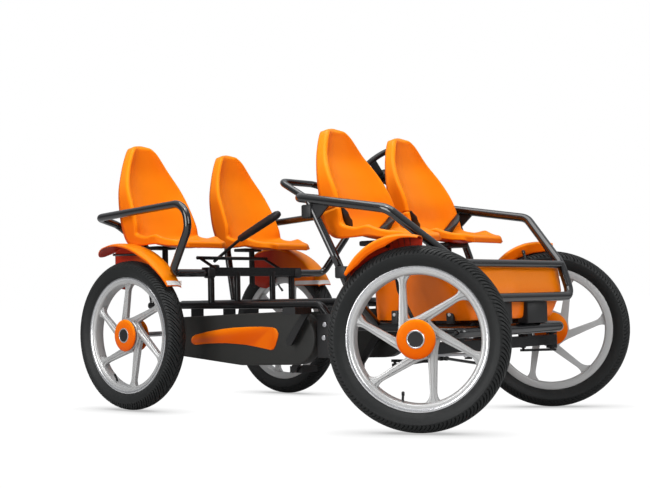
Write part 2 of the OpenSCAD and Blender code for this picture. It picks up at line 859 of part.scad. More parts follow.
// Half of a station's outline from the middle to the folded edge, moved inwards by t
function seat_side(k, wk, t) = let (w = seat_half[k] * wk, g = seat_wing[k], r = seat_roll)
  concat([for (u = [0.2 : 0.2 : 1.001]) [w * u, g * pow(u, 2.6) - t]],
    [for (q = [45, 90]) [w + (r - t) * sin(q), g - r + (r - t) * cos(q)]],
    [[w + r + 2 - t, g - r - seat_fold[k]]]);
function seat_row(mid, wk, k, t) = let (s = seat_side(k, wk, t), m = len(s))
  concat([for (i = [m - 1 : -1 : 0]) seat_point(mid, k, -s[i][0], s[i][1])], [seat_point(mid, k, 0, -t)],
    [for (i = [0 : m - 1]) seat_point(mid, k, s[i][0], s[i][1])]);

// A lofted shell with rolled side edges between two stations of the seat form
module seat_shell(mid, wk, k0, k1, t) {
  n = k1 - k0 + 1;
  w = len(seat_row(mid, wk, k0, 0));
  m = w - 1;
  up = [for (k = [k0 : k1]) each seat_row(mid, wk, k, 0)];
  dn = [for (k = [k0 : k1]) each seat_row(mid, wk, k, t)];
  q = n * w;
  e = (n - 1) * w;
  quads = concat(
    [for (i = [0 : n - 2]) for (j = [0 : m - 1]) let (a = i * w + j) [a, a + w, a + w + 1, a + 1]],
    [for (i = [0 : n - 2]) for (j = [0 : m - 1]) let (a = q + i * w + j) [a, a + 1, a + w + 1, a + w]],
    [for (j = [0 : m - 1]) [j, j + 1, q + j + 1, q + j]],
    [for (j = [0 : m - 1]) [e + j + 1, e + j, q + e + j, q + e + j + 1]],
    [for (i = [0 : n - 2]) let (a = i * w) [a + w, a, q + a, q + a + w]],
    [for (i = [0 : n - 2]) let (a = i * w + m) [a, a + w, q + a + w, q + a]]);
  polyhedron(points = concat(up, dn), faces = concat([for (f = quads) [f[0], f[1], f[2]]],
    [for (f = quads) [f[0], f[2], f[3]]]));
}

module rear_seat_at(y)
  translate([rear_seat_x, y, rear_seat_z])
    seat_shell(seat_mid, 1, 0, 16, seat_t);
module rear_seat_r() color(ORANGE) kart() rear_seat_at(-seat_y);
module rear_seat_l() color(ORANGE) kart() rear_seat_at(seat_y);

module front_seat_place()
  kart()
    both()
      translate([front_seat_x, -front_seat_y, front_seat_z])
        children();
module front_seat_backs() color(ORANGE) front_seat_place() seat_shell(front_mid, front_seat_k, 0, front_split[0], seat_t);
module front_seat_bases() color(ORANGE) front_seat_place() seat_shell(front_mid, front_seat_k, front_split[1], 16, seat_t);

// Hinge covers at both sides of a front seat, between its back and its base
module front_seat_hinges() color(BLACK)
  front_seat_place()
    seat_shell(front_mid, front_seat_k, front_split[0], front_split[1], seat_t);

// Everything above the middle of the seat's underside, used to trim what carries the seat
module above_seat() {
  line = [for (k = [7 : 16]) let (p = seat_point(seat_mid, k, 0, -seat_t)) [p[0], p[2]]];
  low = line[len(line) - 1];
  rotate([90, 0, 0])
    linear_extrude(140, center = true)
      polygon(concat(line, [[low[0] + 90, low[1]], [low[0] + 90, 500], [line[0][0], 500]]));
}

// Posts and pads under all four seats
module seat_mounts() color(BLACK) kart()
  both()
    difference() {
      union() {
        rod([-16, -carrier_y, deck_z], [-16, -carrier_y, 680], 13);
        translate([beam_x - 116, -seat_y - 20, beam_z + 17])
          cube([134, 50, 90]);
        translate([1004, -270, 420])
          cube([40, 36, 160]);
        rod([1024, -252, 424], [1024, -front_rail_y, front_rail_z], 13);
        translate([1004, -270, 574])
          cube([216, 76, 40]);
      }
      translate([rear_seat_x, -seat_y, rear_seat_z])
        above_seat();
      translate([front_seat_x, -front_seat_y, front_seat_z])
        above_seat();
      bent_tube(carrier_path(), carrier_r, 40);
      bent_tube(main_path(), frame_r, 70);
      rod([0, -carrier_y, deck_z], [0, carrier_y, deck_z], 14);
    }

// Side outline of a chain guard
module guard_outline() {
  hull() {
    translate([crank_x, crank_z])
      circle(r = 103, $fn = 72);
    translate([500, 222])
      circle(r = 50, $fn = 48);
    translate([162, 300])
      circle(r = 38, $fn = 40);
    translate([600, 330])
      circle(r = 38, $fn = 40);
  }
}

// Covers over the chains, open on the inner side, hung on tabs below the carrier tubes
module chain_guards() color(GREY) kart()
  both()
    difference() {
      union() {
        translate([0, -guard_y0, 0])
          rotate([90, 0, 0])
            difference() {
              linear_extrude(guard_y1 - guard_y0)
                guard_outline();
              translate([0, 0, -1])
                linear_extrude(guard_y1 - guard_y0 - 3)
                  offset(delta = -4)
                    guard_outline();
              translate([crank_x, crank_z, -1])
                cylinder(h = 80, r = 15);
            }
        for (x = [230, 590])
          translate([x, -guard_y0 - 5, 340])
            cube([26, 5, deck_z - 340]);
      }
      bent_tube(carrier_path(), carrier_r, 40);
    }

// Coloured panels on the outer face of the chain guards
module guard_inserts() color(ORANGE) kart()
  both()
    translate([0, -guard_y1, 0])
      rotate([90, 0, 0])
        linear_extrude(3)
          difference() {
            hull() {
              translate([174, 267])
                circle(r = 9, $fn = 24);
              translate([586, 296])
                circle(r = 18, $fn = 32);
              translate([582, 246])
                circle(r = 12, $fn = 24);
            }
            translate([330, -560])
              circle(r = 800, $fn = 180);
          }

// Handbrake lever between the rear seats, with its grip
module brake_lever() color(BLACK) kart()
  difference() {
    union() {
      translate([92, -15, 552])
        cube([56, 30, 42]);
      rod([112, 0, 582], [222, 0, 648], 6);
      rod([222, 0, 648], [375, 0, 744], 12);
    }
    rod([120, -200, 590], [120, 200, 590], 7);
  }

// Bearing for the steering column on the surround rail
module column_bracket() color(BLACK) kart()
  difference() {
    u = unit(hand_c - ujoint_top);
    union() {
      rod(ujoint_top + u * 50, ujoint_top + u * 86, 19);
      both_at(steer_y)
        rod(ujoint_top + u * 66 + [0, 16, 0], [cross_x, steer_y + 26, cross_z], 6);
    }
    rod(ujoint_top + u * 40, ujoint_top + u * 100, 9 + play);
    rail_tube();
  }

// Makes a copy mirrored about a plane beside the middle of the kart
module both_at(y) {
  children();
  translate([0, y, 0])
    mirror([0, 1, 0])
      translate([0, -y, 0])
        children();
}

tyre_rr();
tyre_rl();
tyre_fr();
tyre_fl();
wheel_rr();
wheel_rl();
wheel_fr();
wheel_fl();
cap_rr();
cap_rl();
cap_fr();
cap_fl();
knuckle_r();
knuckle_l();
tie_rod_r();
tie_rod_l();
bell_crank();
drag_link();
pitman_shaft();
middle_shaft();
steering_column();
steering_wheel();
crank_r();
crank_l();
pedals_r();
pedals_l();
main_frame();
front_axle();
rear_axle();
rear_seat_frame();
armrests();
surround_rail();
rail_posts();
front_bars();
bumper_brackets();
grab_handle();
tub();
tub_brackets();
rear_fenders();
fender_fr();
fender_fl();
fender_arm_r();
fender_arm_l();
fender_stays();
rear_seat_r();
rear_seat_l();
front_seat_bases();
front_seat_backs();
front_seat_hinges();
seat_mounts();
chain_guards();
guard_inserts();
brake_lever();
column_bracket();
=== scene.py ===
# %% [markdown]
# # A four-seat pedal kart
# This file dresses a measured kart for its picture. The exact solids are loaded first and stay where they
# are. Round them we build the things a drawing of sizes leaves out: tread on the tyres, soft rolled edges
# on the moulded seats, bolts and paint. Every size below is in millimetres from the rear axle, with X
# forward, Y to the left and Z up, because that is how the kart was measured. One helper turns it into
# Blender metres.

# %% Load the frame
import json
import math

import bmesh
import bpy
from mathutils import Matrix, Vector


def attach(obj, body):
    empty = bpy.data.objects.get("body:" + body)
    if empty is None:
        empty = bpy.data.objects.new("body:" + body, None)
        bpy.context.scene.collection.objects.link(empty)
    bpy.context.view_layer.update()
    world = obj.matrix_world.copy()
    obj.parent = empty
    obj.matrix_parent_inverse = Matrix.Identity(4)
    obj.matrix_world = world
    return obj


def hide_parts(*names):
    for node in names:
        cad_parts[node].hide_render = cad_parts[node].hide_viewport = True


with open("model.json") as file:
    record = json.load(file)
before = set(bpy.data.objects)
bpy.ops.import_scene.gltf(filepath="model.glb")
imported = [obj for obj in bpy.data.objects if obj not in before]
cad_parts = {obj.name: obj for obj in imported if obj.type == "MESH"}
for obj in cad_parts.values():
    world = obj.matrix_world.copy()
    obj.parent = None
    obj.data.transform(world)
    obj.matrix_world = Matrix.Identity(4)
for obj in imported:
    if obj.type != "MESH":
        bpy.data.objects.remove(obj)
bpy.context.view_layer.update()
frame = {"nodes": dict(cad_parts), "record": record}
AXLE_X = -692.455
SIDES = (("r", -1), ("l", 1))

# %% [markdown]
# ## Helpers for meshes
# Blender can build a mesh from plain lists: points, and faces that name the points by number. Nearly every
# piece here is made that way, so we need a place to collect points and faces, a lathe, a box with cut
# edges, and one function that turns the lists into a shaded object and ties it to the part of the kart that
# it rides on.

# %% Mesh helpers


def metre(p):
    """A point in millimetres from the rear axle, as a point of the scene."""
    return Vector(((p[0] + AXLE_X) / 1000, p[1] / 1000, p[2] / 1000))


def piece(name, build, mats, body, nodes=(), sharp=38.0, face_mats=None):
    """Makes a smooth shaded mesh, ties it to a body and lets it stand for CAD nodes."""
    mesh = bpy.data.meshes.new(name)
    mesh.from_pydata([tuple(v) for v in build.verts], [], build.faces)
    bm = bmesh.new()
    bm.from_mesh(mesh)
    bmesh.ops.remove_doubles(bm, verts=bm.verts, dist=1e-6)
    bmesh.ops.recalc_face_normals(bm, faces=bm.faces)
    bm.to_mesh(mesh)
    bm.free()
    mesh.shade_smooth()
    mesh.set_sharp_from_angle(angle=math.radians(sharp))
    for mat in (mats if isinstance(mats, (list, tuple)) else [mats]):
        mesh.materials.append(mat)
    if face_mats:
        mesh.polygons.foreach_set("material_index", face_mats)
    obj = bpy.data.objects.new(name, mesh)
    bpy.context.scene.collection.objects.link(obj)
    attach(obj, body)
    if nodes:
        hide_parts(*nodes)
    return obj


class Build:
    """Collects the vertices and faces of one piece, so that many small parts can share it."""

    def __init__(self):
        self.verts, self.faces = [], []

    def add(self, verts, faces):
        n = len(self.verts)
        self.verts += [Vector(v) for v in verts]
        self.faces += [[i + n for i in f] for f in faces]
        return self

    def placed(self, matrix):
        self.verts = [matrix @ v for v in self.verts]
        return self

    def mirrored(self):
        n = len(self.verts)
        self.verts += [Vector((v[0], -v[1], v[2])) for v in self.verts[:n]]
        self.faces += [[i + n for i in reversed(f)] for f in self.faces[:]]
        return self


def on_frame(name, build, mats, nodes=(), sharp=40):
    """A piece of the fixed frame from a build in millimetres."""
    shown = Build().add([metre(p) for p in build.verts], build.faces)
    return piece(name, shown, mats, "frame", nodes, sharp)


def grid_faces(rows, cols, wrap=False):
    """Four-sided faces between rows of points. With wrap, each row is a ring."""
    return [[i * cols + j, i * cols + (j + 1) % cols, (i + 1) * cols + (j + 1) % cols, (i + 1) * cols + j]
            for i in range(rows - 1) for j in range(cols if wrap else cols - 1)]


def turned_faces(steps, n, closed=False):
    """Faces between the sections of a turned form. With closed, each section is a loop."""
    return [[i * n + j, (i + 1) % steps * n + j, (i + 1) % steps * n + (j + 1) % n, i * n + (j + 1) % n]
            for i in range(steps) for j in range(n if closed else n - 1)]


def lathe(profile, steps, closed=False):
    """Turns a list of (radius, height) points round the Z axis."""
    turns = [2 * math.pi * i / steps for i in range(steps)]
    verts = [Vector((r * math.cos(q), r * math.sin(q), z)) for q in turns for r, z in profile]
    return verts, turned_faces(steps, len(profile), closed)


def rounded_box(lo, hi, r=2.0):
    """A box with its edges cut at an angle, the look of a small casting."""
    bm = bmesh.new()
    size = [hi[i] - lo[i] for i in range(3)]
    bmesh.ops.create_cube(bm, size=1.0)
    for v in bm.verts:
        v.co = Vector([lo[i] + (v.co[i] + 0.5) * size[i] for i in range(3)])
    bmesh.ops.bevel(bm, geom=bm.edges[:], offset=r, segments=2, affect="EDGES", profile=0.5)
    bm.verts.index_update()
    out = [v.co.copy() for v in bm.verts], [[v.index for v in f.verts] for f in bm.faces]
    bm.free()
    return out


print("mesh helpers ready")

# %% [markdown]
# ## Helpers for tubes
# A bent tube is a circle carried along a line. First we round the corners of the line with true arcs, as a
# pipe bender would. Then we carry the circle along without letting it twist, so the mesh has no pinched
# places.

# %% Tube helpers


def rounded_path(points, bend, closed=False, steps=14):
    """A line with round corners. The bend radius is one number, or one for every point."""
    pts = [Vector(p) for p in points]
    n = len(pts)
    bends = bend if isinstance(bend, (list, tuple)) else [bend] * n
    line = []
    for i, radius in enumerate(bends):
        if not closed and i in (0, n - 1):
            line.append(pts[i])
            continue
        a = (pts[i] - pts[i - 1]).normalized()
        b = (pts[(i + 1) % n] - pts[i]).normalized()
        turn = a.angle(b)
        inward = (b - a).normalized()
        along = (a + b).normalized()
        middle = pts[i] + inward * (radius / math.cos(turn / 2))
        for k in range(steps + 1):
            q = turn * (k / steps - 0.5)
            line.append(middle - inward * radius * math.cos(q) + along * radius * math.sin(q))
    return line


def sweep(line, r, sides=20, closed=False):
    """A round bar along a line. The section is carried along without twisting."""
    n = len(line)
    dirs = []
    for i in range(n):
        a = line[i] - line[i - 1] if closed or i else line[1] - line[0]
        b = line[(i + 1) % n] - line[i] if closed or i < n - 1 else line[-1] - line[-2]
        dirs.append((a.normalized() + b.normalized()).normalized())
    turns = [2 * math.pi * k / sides for k in range(sides)]
    verts, across = [], dirs[0].orthogonal().normalized()
    for spot, ahead in zip(line, dirs):
        across = (across - ahead * across.dot(ahead)).normalized()
        up = ahead.cross(across)
        verts += [spot + (across * math.cos(q) + up * math.sin(q)) * r for q in turns]
    if not closed:
        ends = [list(range(sides))[::-1], list(range((n - 1) * sides, n * sides))]
        return verts, grid_faces(n, sides, wrap=True) + ends
    gap = [(verts[k] - verts[(n - 1) * sides]).length for k in range(sides)]
    shift = gap.index(min(gap))
    last = (n - 1) * sides
    seam = [[last + k, last + (k + 1) % sides, (k + 1 + shift) % sides, (k + shift) % sides]
            for k in range(sides)]
    return verts, grid_faces(n, sides, wrap=True) + seam


print("tube helpers ready")

# %% [markdown]
# ## Effects that the materials share
# A node group is a small machine with sockets. We build six: fine grain for moulded plastic and paint, a
# broad colour drift, rounded corners for the exact solids, dust that settles on top, painted shade that
# changes along the kart, and painted shade that darkens faces turned sideways or down. Each hands out only a
# colour, a value or a normal, and the material decides what to do with it, so one group serves every surface.

# %% Shared node groups


def new_group(name, inputs, outputs):
    """Starts a node group with the named sockets."""
    g = bpy.data.node_groups.new(name, "ShaderNodeTree")
    for label, kind, value in inputs:
        s = g.interface.new_socket(label, in_out="INPUT", socket_type="NodeSocket" + kind)
        if value is not None:
            s.default_value = value
    for label, kind in outputs:
        g.interface.new_socket(label, in_out="OUTPUT", socket_type="NodeSocket" + kind)
    return g, g.nodes.new("NodeGroupInput").outputs, g.nodes.new("NodeGroupOutput").inputs


def wire(tree, n, links):
    """Links sockets to a node's inputs, or sets plain values on them."""
    for key, value in dict(links).items():
        if isinstance(value, bpy.types.NodeSocket):
            tree.links.new(value, n.inputs[key])
        else:
            n.inputs[key].default_value = value
    return n


def node(tree, kind, links=(), **fields):
    """Adds one node, sets its fields and wires its inputs."""
    n = tree.nodes.new("ShaderNode" + kind)
    for key, value in fields.items():
        setattr(n, key, value)
    return wire(tree, n, links)


def use_group(tree, name, links=()):
    """Puts a shared group in a material."""
    n = tree.nodes.new("ShaderNodeGroup")
    n.node_tree = bpy.data.node_groups[name]
    return wire(tree, n, links)


def spots(tree, scale, detail):
    """Noise that stays with the object."""
    where = node(tree, "TexCoord").outputs["Object"]
    return node(tree, "TexNoise", {"Vector": where, "Scale": scale, "Detail": detail}).outputs["Fac"]


def blend(tree, factor, first, second):
    """Mixes two colours."""
    links = {"Factor": factor, "A": first, "B": second}
    return node(tree, "Mix", links, data_type="RGBA").outputs["Result"]


def ramp(tree, value, lo, hi, to_lo=0.0, to_hi=1.0):
    """Maps a value from one range to another."""
    links = {"Value": value, "From Min": lo, "From Max": hi, "To Min": to_lo, "To Max": to_hi}
    return node(tree, "MapRange", links).outputs["Result"]


def calc(tree, operation, first, second):
    """One step of arithmetic."""
    return node(tree, "Math", {0: first, 1: second}, operation=operation).outputs["Value"]


def axis(tree, vector, letter):
    """One of the three numbers in a vector."""
    return node(tree, "SeparateXYZ", {0: vector}).outputs[letter]


g, gi, go = new_group("fine_grain",
                      [("Normal", "Vector", None), ("Scale", "Float", 900.0), ("Depth", "Float", 0.1)],
                      [("Normal", "Vector"), ("Value", "Float")])
noise = spots(g, gi["Scale"], 3.0)
bump = node(g, "Bump", {"Height": noise, "Strength": gi["Depth"], "Distance": 0.0008, "Normal": gi["Normal"]})
g.links.new(bump.outputs["Normal"], go["Normal"])
g.links.new(noise, go["Value"])

g, gi, go = new_group("colour_drift",
                      [("Color", "Color", None), ("Amount", "Float", 0.1), ("Scale", "Float", 6.0)],
                      [("Color", "Color"), ("Value", "Float")])
span = ramp(g, spots(g, gi["Scale"], 4.0), 0.3, 0.7, -1.0, 1.0)
brightness = calc(g, "ADD", calc(g, "MULTIPLY", span, gi["Amount"]), 1.0)
tint = node(g, "HueSaturation", {"Color": gi["Color"], "Value": brightness})
g.links.new(tint.outputs["Color"], go["Color"])
g.links.new(span, go["Value"])

g, gi, go = new_group("soft_corner", [("Radius", "Float", 0.002)], [("Normal", "Vector"), ("Mask", "Float")])
bevel = node(g, "Bevel", {"Radius": gi["Radius"]}, samples=6).outputs["Normal"]
flat = node(g, "NewGeometry").outputs["Normal"]
dot = node(g, "VectorMath", {0: bevel, 1: flat}, operation="DOT_PRODUCT")
g.links.new(bevel, go["Normal"])
g.links.new(ramp(g, dot.outputs["Value"], 0.995, 0.8), go["Mask"])

g, gi, go = new_group("settled_dust", [("Amount", "Float", 0.2), ("Scale", "Float", 40.0)],
                      [("Mask", "Float")])
on_top = ramp(g, axis(g, node(g, "NewGeometry").outputs["Normal"], "Z"), 0.35, 1.0)
patches = calc(g, "MULTIPLY", on_top, ramp(g, spots(g, gi["Scale"], 6.0), 0.45, 0.75))
g.links.new(calc(g, "MULTIPLY", patches, gi["Amount"]), go["Mask"])

# Painted shade: the colour changes from the first to the other along the kart's length.
g, gi, go = new_group("shade_fade_along",
                      [("Color", "Color", None), ("Other", "Color", None),
                       ("Start", "Float", 0.0), ("End", "Float", 1.0)],
                      [("Color", "Color")])
ahead = ramp(g, axis(g, node(g, "TexCoord").outputs["Object"], "X"), gi["Start"], gi["End"])
g.links.new(blend(g, ahead, gi["Color"], gi["Other"]), go["Color"])

# Painted shade: faces turned sideways or down get the darker colour, as if less light reached them.
g, gi, go = new_group("painted_steep_shade",
                      [("Color", "Color", None), ("Steep", "Color", None),
                       ("Low", "Float", -0.15), ("High", "Float", 0.5)],
                      [("Color", "Color")])
level = ramp(g, axis(g, node(g, "NewGeometry").outputs["Normal"], "Z"), gi["Low"], gi["High"])
g.links.new(blend(g, level, gi["Steep"], gi["Color"]), go["Color"])
print("node groups:", sorted(x.name for x in bpy.data.node_groups))

# %% [markdown]
# ## The materials
# Glossy orange plastic, black powder coat, rubber, silver casting paint and bright zinc differ mostly in
# roughness and in how strong a second clear layer is. One function wires the shared effects into a
# Principled shader in the same order each time, so a new finish is a single line of numbers. The orange has
# a tinted shine: its highlights then stay warm, as on a plastic that is dyed right through.

# %% Finishes
DUST = (0.42, 0.39, 0.35, 1.0)


def finish(name, color, rough, metal=0.0, coat=0.0, grain=(900.0, 0.06), drift=0.04, dust=0.1, corner=0.0,
           edge=None, spread=0.08, gloss=0.5, steep_shade=None, shine=None, shade_fade=None):
    """A Principled material with grain, drift, dust and, for exact solids, softened corners."""
    mat = bpy.data.materials.new(name)
    mat.use_nodes = True
    t = mat.node_tree
    p = t.nodes["Principled BSDF"]
    p.inputs["Metallic"].default_value = metal
    p.inputs["Coat Weight"].default_value = coat
    p.inputs["Coat Roughness"].default_value = 0.06
    p.inputs["Specular IOR Level"].default_value = gloss
    if shine:
        p.inputs["Specular Tint"].default_value = (*shine, 1.0)
    flow = use_group(t, "colour_drift", {"Color": (*color, 1.0), "Amount": drift, "Scale": 7.0})
    paint = flow.outputs["Color"]
    # Painted shade: faces turned sideways or down take the darker, redder colour.
    if steep_shade:
        paint = use_group(t, "painted_steep_shade", {"Color": paint, "Steep": (*steep_shade, 1.0)}).outputs["Color"]
    # Painted shade that gives way to another colour along the kart's length.
    if shade_fade:
        other, start, end = shade_fade
        links = {"Color": paint, "Other": (*other, 1.0), "Start": start, "End": end}
        paint = use_group(t, "shade_fade_along", links).outputs["Color"]
    if corner:
        soft = use_group(t, "soft_corner", {"Radius": corner})
        normal = soft.outputs["Normal"]
        if edge:
            paint = blend(t, soft.outputs["Mask"], paint, (*edge, 1.0))
    else:
        normal = node(t, "NewGeometry").outputs["Normal"]
    fine = use_group(t, "fine_grain", {"Normal": normal, "Scale": grain[0], "Depth": grain[1]})
    specks = use_group(t, "settled_dust", {"Amount": dust, "Scale": 60.0})
    vary = ramp(t, fine.outputs["Value"], 0.0, 1.0, rough - spread / 2, rough + spread)
    t.links.new(blend(t, specks.outputs["Mask"], paint, DUST), p.inputs["Base Color"])
    t.links.new(vary, p.inputs["Roughness"])
    t.links.new(fine.outputs["Normal"], p.inputs["Normal"])
    return mat


# The second colour here is painted shade: the darker red-orange that faces turned sideways or down get.
PAINT, STEEP_SHADE, GLOW = (0.87, 0.225, 0.002), (0.66, 0.085, 0.001), (1.0, 0.55, 0.10)
SOOT = (0.003, 0.003, 0.0035)
SATIN, SMOOTH, PEBBLE = (1400.0, 0.05), (700.0, 0.04), (2200.0, 0.12)
ORANGE = finish("orange_plastic", PAINT, 0.34, gloss=0.30, grain=SATIN, dust=0.0, steep_shade=STEEP_SHADE, shine=GLOW)
ORANGE_CAD = finish("orange_plastic_solid", PAINT, 0.34, gloss=0.30, grain=SATIN, dust=0.0, corner=0.003,
                    steep_shade=STEEP_SHADE, shine=GLOW)
# The tub also gets painted shade on faces turned sideways or down.
TUB = finish("tub_plastic", PAINT, 0.26, gloss=0.40, grain=SATIN, dust=0.0, steep_shade=(0.86, 0.16, 0.002),
             shine=(1.0, 0.7, 0.35))
BLACK = finish("black_paint", SOOT, 0.17, gloss=0.5, coat=0.75, grain=SMOOTH, dust=0.01)
BLACK_CAD = finish("black_paint_solid", SOOT, 0.26, gloss=0.3, coat=0.12, grain=SMOOTH, dust=0.01,
                   corner=0.0025, edge=(0.012, 0.012, 0.012))
RUBBER = finish("tyre_rubber", (0.0060, 0.0068, 0.0068), 0.52, gloss=0.33, grain=(1600.0, 0.15),
                drift=0.12, dust=0.05)
CAST = finish("cast_alloy", (0.48, 0.48, 0.475), 0.36, metal=0.5, coat=0.15, grain=(1500.0, 0.08), dust=0.0)
LIP = finish("bright_lip", (0.66, 0.66, 0.67), 0.22, metal=0.9, coat=0.2, grain=(1500.0, 0.03), dust=0.0)
GUARD = finish("guard_plastic", (0.0135, 0.0135, 0.012), 0.50, gloss=0.35, grain=PEBBLE, dust=0.02,
               corner=0.004)
PLASTIC = finish("black_plastic", (0.008, 0.008, 0.0085), 0.45, gloss=0.4, grain=PEBBLE, dust=0.02,
                 corner=0.002)
CRANK = finish("crank_steel", (0.03, 0.03, 0.03), 0.32, metal=0.6, dust=0.02, corner=0.002)
ZINC = finish("zinc_steel", (0.62, 0.62, 0.64), 0.28, metal=1.0, grain=(1200.0, 0.05), dust=0.02,
              corner=0.001)
# Painted shade: a deep red-orange for the inner faces of fenders and tub, where little light reaches.
INSIDE_SHADE = finish("orange_inside_shade", (0.48, 0.022, 0.003), 0.45, gloss=0.2, grain=SATIN, dust=0.0)
# Painted shadow: the rear fender's inner wall is dark red at the back, under the seat, and orange at the
# front.
WALL_SHADE = finish("fender_wall_shade", (0.40, 0.020, 0.003), 0.42, gloss=0.2, grain=SATIN, dust=0.0,
              shade_fade=((0.80, 0.15, 0.002), -0.735, -0.600))
STRIPE = finish("pale_stripe", (0.75, 0.74, 0.72), 0.25, coat=0.4, grain=(1200.0, 0.03), dust=0.02)

SLOT_FINISH = {"orange_plastic": ORANGE_CAD, "black_paint": BLACK_CAD, "tyre_rubber": RUBBER,
               "cast_alloy": CAST, "guard_plastic": GUARD, "black_plastic": PLASTIC,
               "crank_steel": CRANK, "steel": ZINC}
for part in frame["record"]["subparts"]:
    solid = frame["nodes"][part["node"]]
    solid.data.materials.clear()
    solid.data.materials.append(SLOT_FINISH[part["material_slot"]])
print("finishes:", len(bpy.data.materials))

# %% [markdown]
# ## The wheels
# A wheel is easy to build lying flat, with its axle along Z, and then to stand up with one matrix. The
# matrix turns it to its side of the kart, steers it and moves it to its hub. The front pair stand steered
# to the left.

# %% Where the four wheels stand
WHEELBASE, REAR_HUB_Y, KINGPIN_Y, HUB_Z, SCRUB = 1372, 443.5, 396, 290, 85.0
TURN_R, TURN_L = math.radians(24.5), math.radians(32.0)


def front_hub(side, turn):
    """A front hub swings round its kingpin when the wheel is steered."""
    return (WHEELBASE - side * SCRUB * math.sin(turn), side * (KINGPIN_Y + SCRUB * math.cos(turn)), HUB_Z)


# For each wheel: hub, side, steering turn, spin in degrees and the body it rides on
WHEELS = {
    "rr": ((0, -REAR_HUB_Y, HUB_Z), -1, 0.0, -10.0, "wheel_rear_right"),
    "rl": ((0, REAR_HUB_Y, HUB_Z), 1, 0.0, 2.0, "wheel_rear_left"),
    "fr": (front_hub(-1, TURN_R), -1, TURN_R, 0.0, "wheel_front_right"),
    "fl": (front_hub(1, TURN_L), 1, TURN_L, 8.5, "wheel_front_left"),
}


def stand(centre, side, turn, spin):
    """The matrix that stands a flat wheel at its hub, outer face outward."""
    tilt = Matrix.Rotation(math.radians(90 if side < 0 else -90), 4, "X")
    return (Matrix.Translation(metre(centre)) @ Matrix.Rotation(turn, 4, "Z") @ tilt
            @ Matrix.Rotation(math.radians(spin), 4, "Z") @ Matrix.Scale(0.001, 4))


print("wheels:", ", ".join(WHEELS))

# %% [markdown]
# ## Tyres
# A tyre is a section turned round the axle. The tread is cut by letting the columns of the mesh run
# slantwise, as the grooves do, and then pushing a few columns in. Because the groove edges are mesh edges,
# they stay crisp with few polygons. A displaced round mesh would need ten times as many.

# %% Tyres with a slanting tread
# Half a tyre section from the bead to the middle of the tread, as radius and half width
SECTION = [(220, 20.5), (226, 22.5), (231, 26.5), (238, 32.0), (246, 36.5), (254, 39.2), (259, 39.9),
           (261, 40.4), (263, 39.9), (269, 38.2), (275, 34.8), (280, 30.0), (284, 24.0), (287, 17.0),
           (288.8, 10.0), (289.6, 4.5), (289.8, 2.2), (288.2, 1.4), (288.0, 0.0)]
FULL = SECTION + [(r, -z) for r, z in reversed(SECTION[:-1])]
BLOCKS, SLANT, SHOULDER = 62, 1.9, 38.0
LONG_GROOVE, SHORT_GROOVE = 5.6, 4.6
# Where the mesh columns of one block stand, and whether they lie in a long or a short groove
COLUMNS = [(0.0, 0, 0), (0.03, 1, 0), (0.19, 1, 0), (0.22, 0, 0), (0.36, 0, 0), (0.50, 0, 0), (0.525, 0, 1),
           (0.64, 0, 1), (0.665, 0, 0), (0.83, 0, 0)]


def step(x, lo, hi):
    """A soft step from 0 to 1."""
    x = max(0.0, min(1.0, (x - lo) / (hi - lo)))
    return x * x * (3 - 2 * x)


def tyre_mesh():
    verts = []
    for b in range(BLOCKS):
        for part, in_long, in_short in COLUMNS:
            for r, z in FULL:
                a = abs(z)
                cut = in_long * step(r, 264, 269) * step(a, 3.0, 6.0) * LONG_GROOVE
                cut += in_short * step(r, 262, 266) * step(a, 17.0, 21.0) * SHORT_GROOVE
                slant = SLANT * min(a, SHOULDER) / SHOULDER
                half_block = (0.5 if z < 0 else 0) * step(a, 0, 3)
                q = 2 * math.pi * (b + part + slant + half_block) / BLOCKS
                inward = math.copysign(cut * 0.25 * a / 40, z)
                verts.append(Vector(((r - cut) * math.cos(q), (r - cut) * math.sin(q), z - inward)))
    return verts, turned_faces(BLOCKS * len(COLUMNS), len(FULL))


for key, (*place, body) in WHEELS.items():
    rubber = Build().add(*tyre_mesh()).placed(stand(*place))
    piece("tyre_" + key + "_tread", rubber, RUBBER, body,
          ["tyre_" + key], sharp=34)
print("tyres with", BLOCKS, "tread blocks a side")

# %% [markdown]
# ## Cast wheels
# Six spokes run beside the hub instead of through it, which gives the wheel its pinwheel look. Each spoke
# is a loft: one section is repeated along the spoke, narrow in the middle and wide where it flows into the
# rim and the hub. A raised rib runs down its face. The polished lip is a second material on the same turned
# rim.

# %% Rims, spokes and hubs
RIM = [(199, -21), (201.5, -24), (205, -25), (221, -25), (225, -24.6), (227, -22.5), (226.4, -20.6),
       (222, -19.4), (213, -9), (213, 9), (222, 19.4), (226.4, 20.6), (227, 22.5), (225, 24.6), (221, 25),
       (217, 24.2), (214, 22.0), (208, 22.0), (204.5, 21.0), (201, 17.5), (199, 12)]
LIP_FROM, LIP_TO = 11, 16
HUB = [(0, -33), (24, -33), (26, -31), (26, -17), (32, -14), (56, -14), (60, -11), (60, 14), (57, 18),
       (30, 20), (0, 20)]
SPOKES, SPOKE_OFFSET, ROOT_WIDTH, TIP_WIDTH = 6, -45.0, 30.0, 20.0
STATIONS = [2, 14, 28, 44, 58, 75, 100, 125, 150, 166, 176, 183, 188.5, 192.5, 196]


